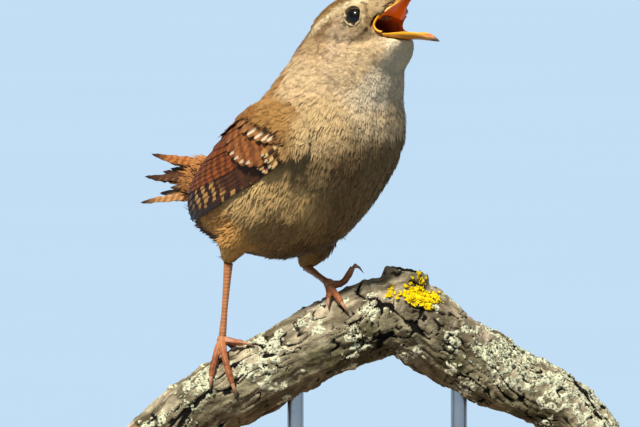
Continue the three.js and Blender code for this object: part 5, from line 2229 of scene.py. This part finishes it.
@dataclass
class Branch:
    """The cut length of branch: cracked bark, crusts and leafy lichen."""

    bark: Material
    yellow: Material
    grey: Material
    voxel: float = 0.35
    crack_depth: float = 0.7
    wander: float = 2.2
    cut_share: float = 0.008
    ring_width: float = 1.1
    lobe_rows: int = 6
    lobe_columns: int = 7
    lobe_thickness: float = 0.12
    line: PerchLine = field(default_factory=PerchLine)
    surface: Surface | None = None

    def build(self) -> None:
        """Makes the bark and the lichens on it."""
        plain = Surface.of_nodes(["perch"], self.voxel, 0.0, 5)
        share, angle, height = self.line.read(plain.points)
        around = angle * self.line.radius_at(share)
        grain = np.stack([share * self.line.length(), around, np.full(len(share), 5.0)], 1)
        grain[:, 1] += layered_noise(plain.points, 9.0, 2, 61) * self.wander
        from_end = np.minimum(share, 1 - share)
        cut = ease(self.cut_share - from_end, -0.002, 0.002) * ease(np.abs(height + 4), 5.2, 3.8)
        crack = self.cracks(plain.points, grain) * (1 - cut)
        crust = self.crust(plain.points, share, angle) * (1 - cut)
        pebble = layered_noise(plain.points, 1.3, 3, 68)
        plates = layered_noise(grain * [0.45, 1, 1], 3.6, 4, 69)
        knobs = ease(layered_noise(plain.points, 7.5, 2, 73), 0.1, 0.7)
        ribs = noise(grain, (3.4, 0.8, 9.0), 75)
        relief = (0.6 * plates + 0.5 * knobs + 0.3 * pebble + 0.26 * ribs) * (1 - 0.85 * cut)
        relief = relief - self.crack_depth * crack + crust * (0.2 + 0.35 * np.abs(pebble))
        self.surface = plain.pushed(relief)
        values = {
            "crack": crack,
            "crust": crust,
            "cut": cut,
            # Hollows where the relief is low: partly the furrows' own darker bark, partly painted shade.
            "hollow": ease(plates + 0.5 * ribs, 0.0, -0.5) * 0.8,
            "bare": ease(layered_noise(plain.points, 12.0, 2, 70), 0.05, 0.4) * ease(angle, 2.2, 0.8),
            # Painted shade on the lower front side of the branch, together with random moss patches.
            "moss": np.maximum(ease(angle, 1.0, 1.9), ease(noise(plain.points, 4.5, 71), 0.3, 0.6) * 0.8),
            "ring": np.abs(height + self.line.radius_at(share)) / self.ring_width + pebble * 0.15,
        }
        settle(self.surface.piece("bark", self.bark, **values), Slot.BARK, "perch")
        for number, patch in enumerate(YELLOW_PATCHES):
            self.build_lichen(f"lichen_yellow_{number + 1}", patch, self.yellow, 80 + number)
        for number, patch in enumerate(GREY_PATCHES):
            self.build_lichen(f"lichen_grey_{number + 1}", patch, self.grey, 90 + number)

    @staticmethod
    def seams(
        grain: Array, cells: tuple[float, float], sharp: tuple[float, float], seed: int
    ) -> Array:
        """Thin lines where a noise passes zero.

        Args:
            grain: Places, with the first number along the lines.
            cells: The noise's cell size along and across.
            sharp: Where a line's edge starts and where it is full, 1 being its middle.
            seed: Picks one of many noises.

        Returns:
            1 in the middle of a line and 0 off it.
        """
        return ease(1 - np.abs(noise(grain, (*cells, 9.0), seed)), *sharp)

    @classmethod
    def cracks(cls, points: Array, grain: Array) -> Array:
        """Cracks the bark: long cracks run with the grain, short ones across it.

        Args:
            points: World points.
            grain: The same places along and round the branch.

        Returns:
            How deep each point lies in a crack, from 0 to 1.
        """
        long = cls.seams(grain, (9.0, 2.8), (0.93, 0.985), 62) * ease(noise(points, 8.0, 63), -0.25, 0.25)
        fine = cls.seams(grain, (3.0, 1.0), (0.88, 0.97), 64) * ease(noise(points, 5.0, 65), -0.5, 0.05)
        turned = grain[:, [1, 0, 2]]
        across = cls.seams(turned, (5.0, 2.0), (0.92, 0.985), 66) * ease(noise(points, 6.0, 67), 0.0, 0.4)
        return np.maximum.reduce([long, fine * 0.85, across * 0.65])

    @staticmethod
    def crust(points: Array, share: Array, angle: Array) -> Array:
        """Spreads pale crust over the bark.

        Args:
            points: World points.
            share: Their shares along the branch.
            angle: Their angles from its top.

        Returns:
            How much crust covers each point, from 0 to 1.
        """
        right = 1.4 * ease(share, 0.55, 0.68) * ease(np.abs(angle - 0.5), 1.4, 0.6)
        left = ease(share, 0.4, 0.2) * ease(np.abs(angle - 1.0), 0.9, 0.3) * 0.5
        clusters = layered_noise(points, 4.0, 3, 72) + 0.5 * np.maximum(right, left)
        return ease(clusters, 0.14, 0.42) * ease(layered_noise(points, 1.1, 2, 74), -0.45, 0.1)

    def build_lichen(self, name: str, patch: LichenPatch, material: Material, seed: int) -> None:
        """Makes a patch of small lobes that lie on the bark.

        Args:
            name: The piece's name.
            patch: Where it grows.
            material: Its finish.
            seed: Its own part of the random seed.
        """
        rng = np.random.default_rng(SEED + seed)
        spread = [patch.spread_x / 2, 2.0, patch.spread_z / 2]
        place = np.array([patch.x, -8.0, patch.z]) + rng.normal(0, 1, (patch.lobes, 3)) * spread
        roots, ways, _ = nearest(self.surface.tree(), place)
        ways = unit(ways)
        turn = rng.random(patch.lobes)[:, None] * TURN
        first = unit(np.cross(ways, [0.1, 0.2, 1.0]))
        heading = np.cos(turn) * first + np.sin(turn) * np.cross(ways, first)
        side = np.cross(heading, ways)
        size = patch.size * rng.uniform(0.6, 1.3, patch.lobes)
        u = np.linspace(-1, 1, self.lobe_columns)
        v = np.linspace(0, 1, self.lobe_rows)
        half = 0.25 + 0.45 * np.sin(v * 2.4)
        frill = 1 + 0.22 * np.sin(5 * np.pi * v)[None, :, None] * rng.normal(1, 0.3, (patch.lobes, 1, 1))
        reach = u * half[:, None] * frill
        height = 0.12 + 0.25 * v[:, None] ** 2 + 0.14 * u**2 + 0.1 * np.sin(7 * u + 3 * v[:, None])
        scale = size[:, None, None, None]
        middle = roots[:, None, None] + scale * (
            reach[..., None] * side[:, None, None]
            + v[None, :, None, None] * heading[:, None, None]
            + height[None, ..., None] * ways[:, None, None]
        )
        low = middle - scale * self.lobe_thickness * ways[:, None, None]
        points = np.stack([middle, low], 1)
        faces = Vane(rows=self.lobe_rows, columns=self.lobe_columns).faces(flip=False)
        starts = np.arange(patch.lobes)[:, None, None] * points[0, ..., 0].size
        faces = (faces[None] + starts).reshape(-1, 4)
        shape = points.shape[:-1]
        shares = [np.broadcast_to(u, shape), np.broadcast_to(v[:, None], shape), np.full(shape, 0.5)]
        vane = np.stack(shares, -1).reshape(-1, 3)
        settle(new_piece(name, points.reshape(-1, 3), [faces], material, {"vane": vane}), Slot.BARK)


@dataclass(frozen=True)
class LichenPatch:
    """Where leafy lichen grows, how far it spreads, and how many lobes of what size."""

    x: float
    z: float
    spread_x: float
    spread_z: float
    lobes: int
    size: float


YELLOW_PATCHES = (
    LichenPatch(25.3, 63.2, 4.0, 2.7, 420, 0.75),
    LichenPatch(17.2, 63.6, 1.2, 0.7, 24, 0.6),
)
GREY_PATCHES = (
    LichenPatch(-30.0, 38.0, 9.0, 5.0, 60, 0.6),
    LichenPatch(44.0, 48.0, 12.0, 6.0, 110, 0.6),
)


@dataclass
class Stand:
    """Oak base and steel rods, which keep their frame shapes."""

    oak: Material
    steel: Material
    base_edge: float = 0.5
    rod_edge: float = 0.2
    weld: float = 0.01

    def build(self) -> None:
        """Rounds the frame nodes and gives them their finishes."""
        self.finish("stand_base", self.oak, self.base_edge)
        self.finish("stand_rod_left", self.steel, self.rod_edge)
        self.finish("stand_rod_right", self.steel, self.rod_edge)

    def finish(self, node: str, material: Material, edge: float) -> None:
        """Welds a frame node, rounds its edges and dresses it.

        Args:
            node: The node.
            material: Its finish.
            edge: Width of its rounded edges.
        """
        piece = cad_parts[node]
        piece.modifiers.new("weld", "WELD").merge_threshold = self.weld * MM
        bevel = piece.modifiers.new("round", "BEVEL")
        bevel.width = edge * MM
        bevel.segments = 3
        bevel.angle_limit = math.radians(25)
        piece.data.shade_smooth()
        piece.modifiers.new("even", "WEIGHTED_NORMAL").keep_sharp = False
        piece.data.materials.clear()
        piece.data.materials.append(material)
        log.info("%s: kept", node)


@dataclass
class Studio:
    """Floor, light and camera."""

    elevation: float = 3.0
    distance: float = 2.17
    target: tuple[float, float, float] = (0.0, -0.003, 0.082)
    lens: float = 500.0
    sensor: float = 36.0
    floor_radius: float = 12.0
    floor_corners: int = 96
    sky: tuple[float, float, float] = (0.8, 0.9, 1.0)
    sky_strength: float = 0.3
    sun_from: tuple[float, float, float] = (-0.24, -0.58, 0.78)
    sun_power: float = 5.4
    sun_width: float = 11.0
    sun_colour: tuple[float, float, float] = (1.0, 0.94, 0.84)

    def build(self, floor: Material) -> None:
        """Lays the floor, sets the lights and aims the camera.

        Args:
            floor: Finish of the floor.
        """
        count = self.floor_corners
        angles = np.linspace(0, TURN, count, endpoint=False)
        ring = np.stack([np.cos(angles), np.sin(angles), np.zeros(count)], 1) * self.floor_radius / MM
        ground = new_piece("floor", ring, [np.arange(count)[None]], floor)
        ground.visible_diffuse = False
        self.light_world()
        self.add_sun()
        self.aim_camera()

    def light_world(self) -> None:
        """Even pale light from all round."""
        world = bpy.data.worlds.new("studio")
        world.use_nodes = True
        back = world.node_tree.nodes["Background"]
        back.inputs["Color"].default_value = (*self.sky, 1.0)
        back.inputs["Strength"].default_value = self.sky_strength
        bpy.context.scene.world = world
        bpy.context.scene.view_settings.view_transform = "Standard"

    def add_sun(self) -> None:
        """Adds the wide distant key light."""
        light = bpy.data.lights.new("key", "SUN")
        light.energy = self.sun_power
        light.angle = math.radians(self.sun_width)
        light.color = self.sun_colour
        lamp = bpy.data.objects.new("key", light)
        lamp.rotation_euler = Vector(self.sun_from).to_track_quat("Z", "Y").to_euler()
        bpy.context.scene.collection.objects.link(lamp)

    def aim_camera(self) -> None:
        """Stands the camera before the bird, slightly above it."""
        camera = bpy.data.cameras.new("camera")
        camera.lens = self.lens
        camera.sensor_width = self.sensor
        camera.clip_start, camera.clip_end = 0.05, 40
        eye = bpy.data.objects.new("camera", camera)
        tilt = math.radians(self.elevation)
        away = Vector((0, -math.cos(tilt), math.sin(tilt)))
        eye.location = Vector(self.target) + away * self.distance
        eye.rotation_euler = away.to_track_quat("Z", "Y").to_euler()
        bpy.context.scene.collection.objects.link(eye)
        bpy.context.scene.camera = eye


def main() -> None:
    """Builds the model piece by piece."""
    logging.basicConfig(level=logging.INFO, format="%(message)s", stream=sys.stdout)
    Studio().build(FloorFinish().material())
    plumage = Plumage().material()
    barred = BarredVane().material()
    horn = Horn("horn").material()
    flesh = Horn("mouth_flesh", roughness=0.55, contrast=0.15, subsurface=0.1).material()
    scales = Horn("leg_scales", roughness=0.5, contrast=0.25, relief=0.05).material()
    markings = Markings()
    Stand(OakFinish().material(), SteelFinish().material()).build()
    branch = Branch(
        BarkFinish().material(),
        LichenFinish("lichen_yellow", "f3d90a", "c9a906").material(),
        LichenFinish("lichen_grey", "c4c9ad", "7f8468").material(),
    )
    branch.build()
    LegPair(scales, horn, branch.line).build()
    Bill(horn, flesh).build()
    EyePair(EyeGloss().material(), scales).build()
    skin = Skin()
    skin.build(markings, plumage)
    Coat(skin, markings, plumage).build()
    WingPair().build(barred)
    TailFan().build(barred)


if __name__ == "__main__":
    main()
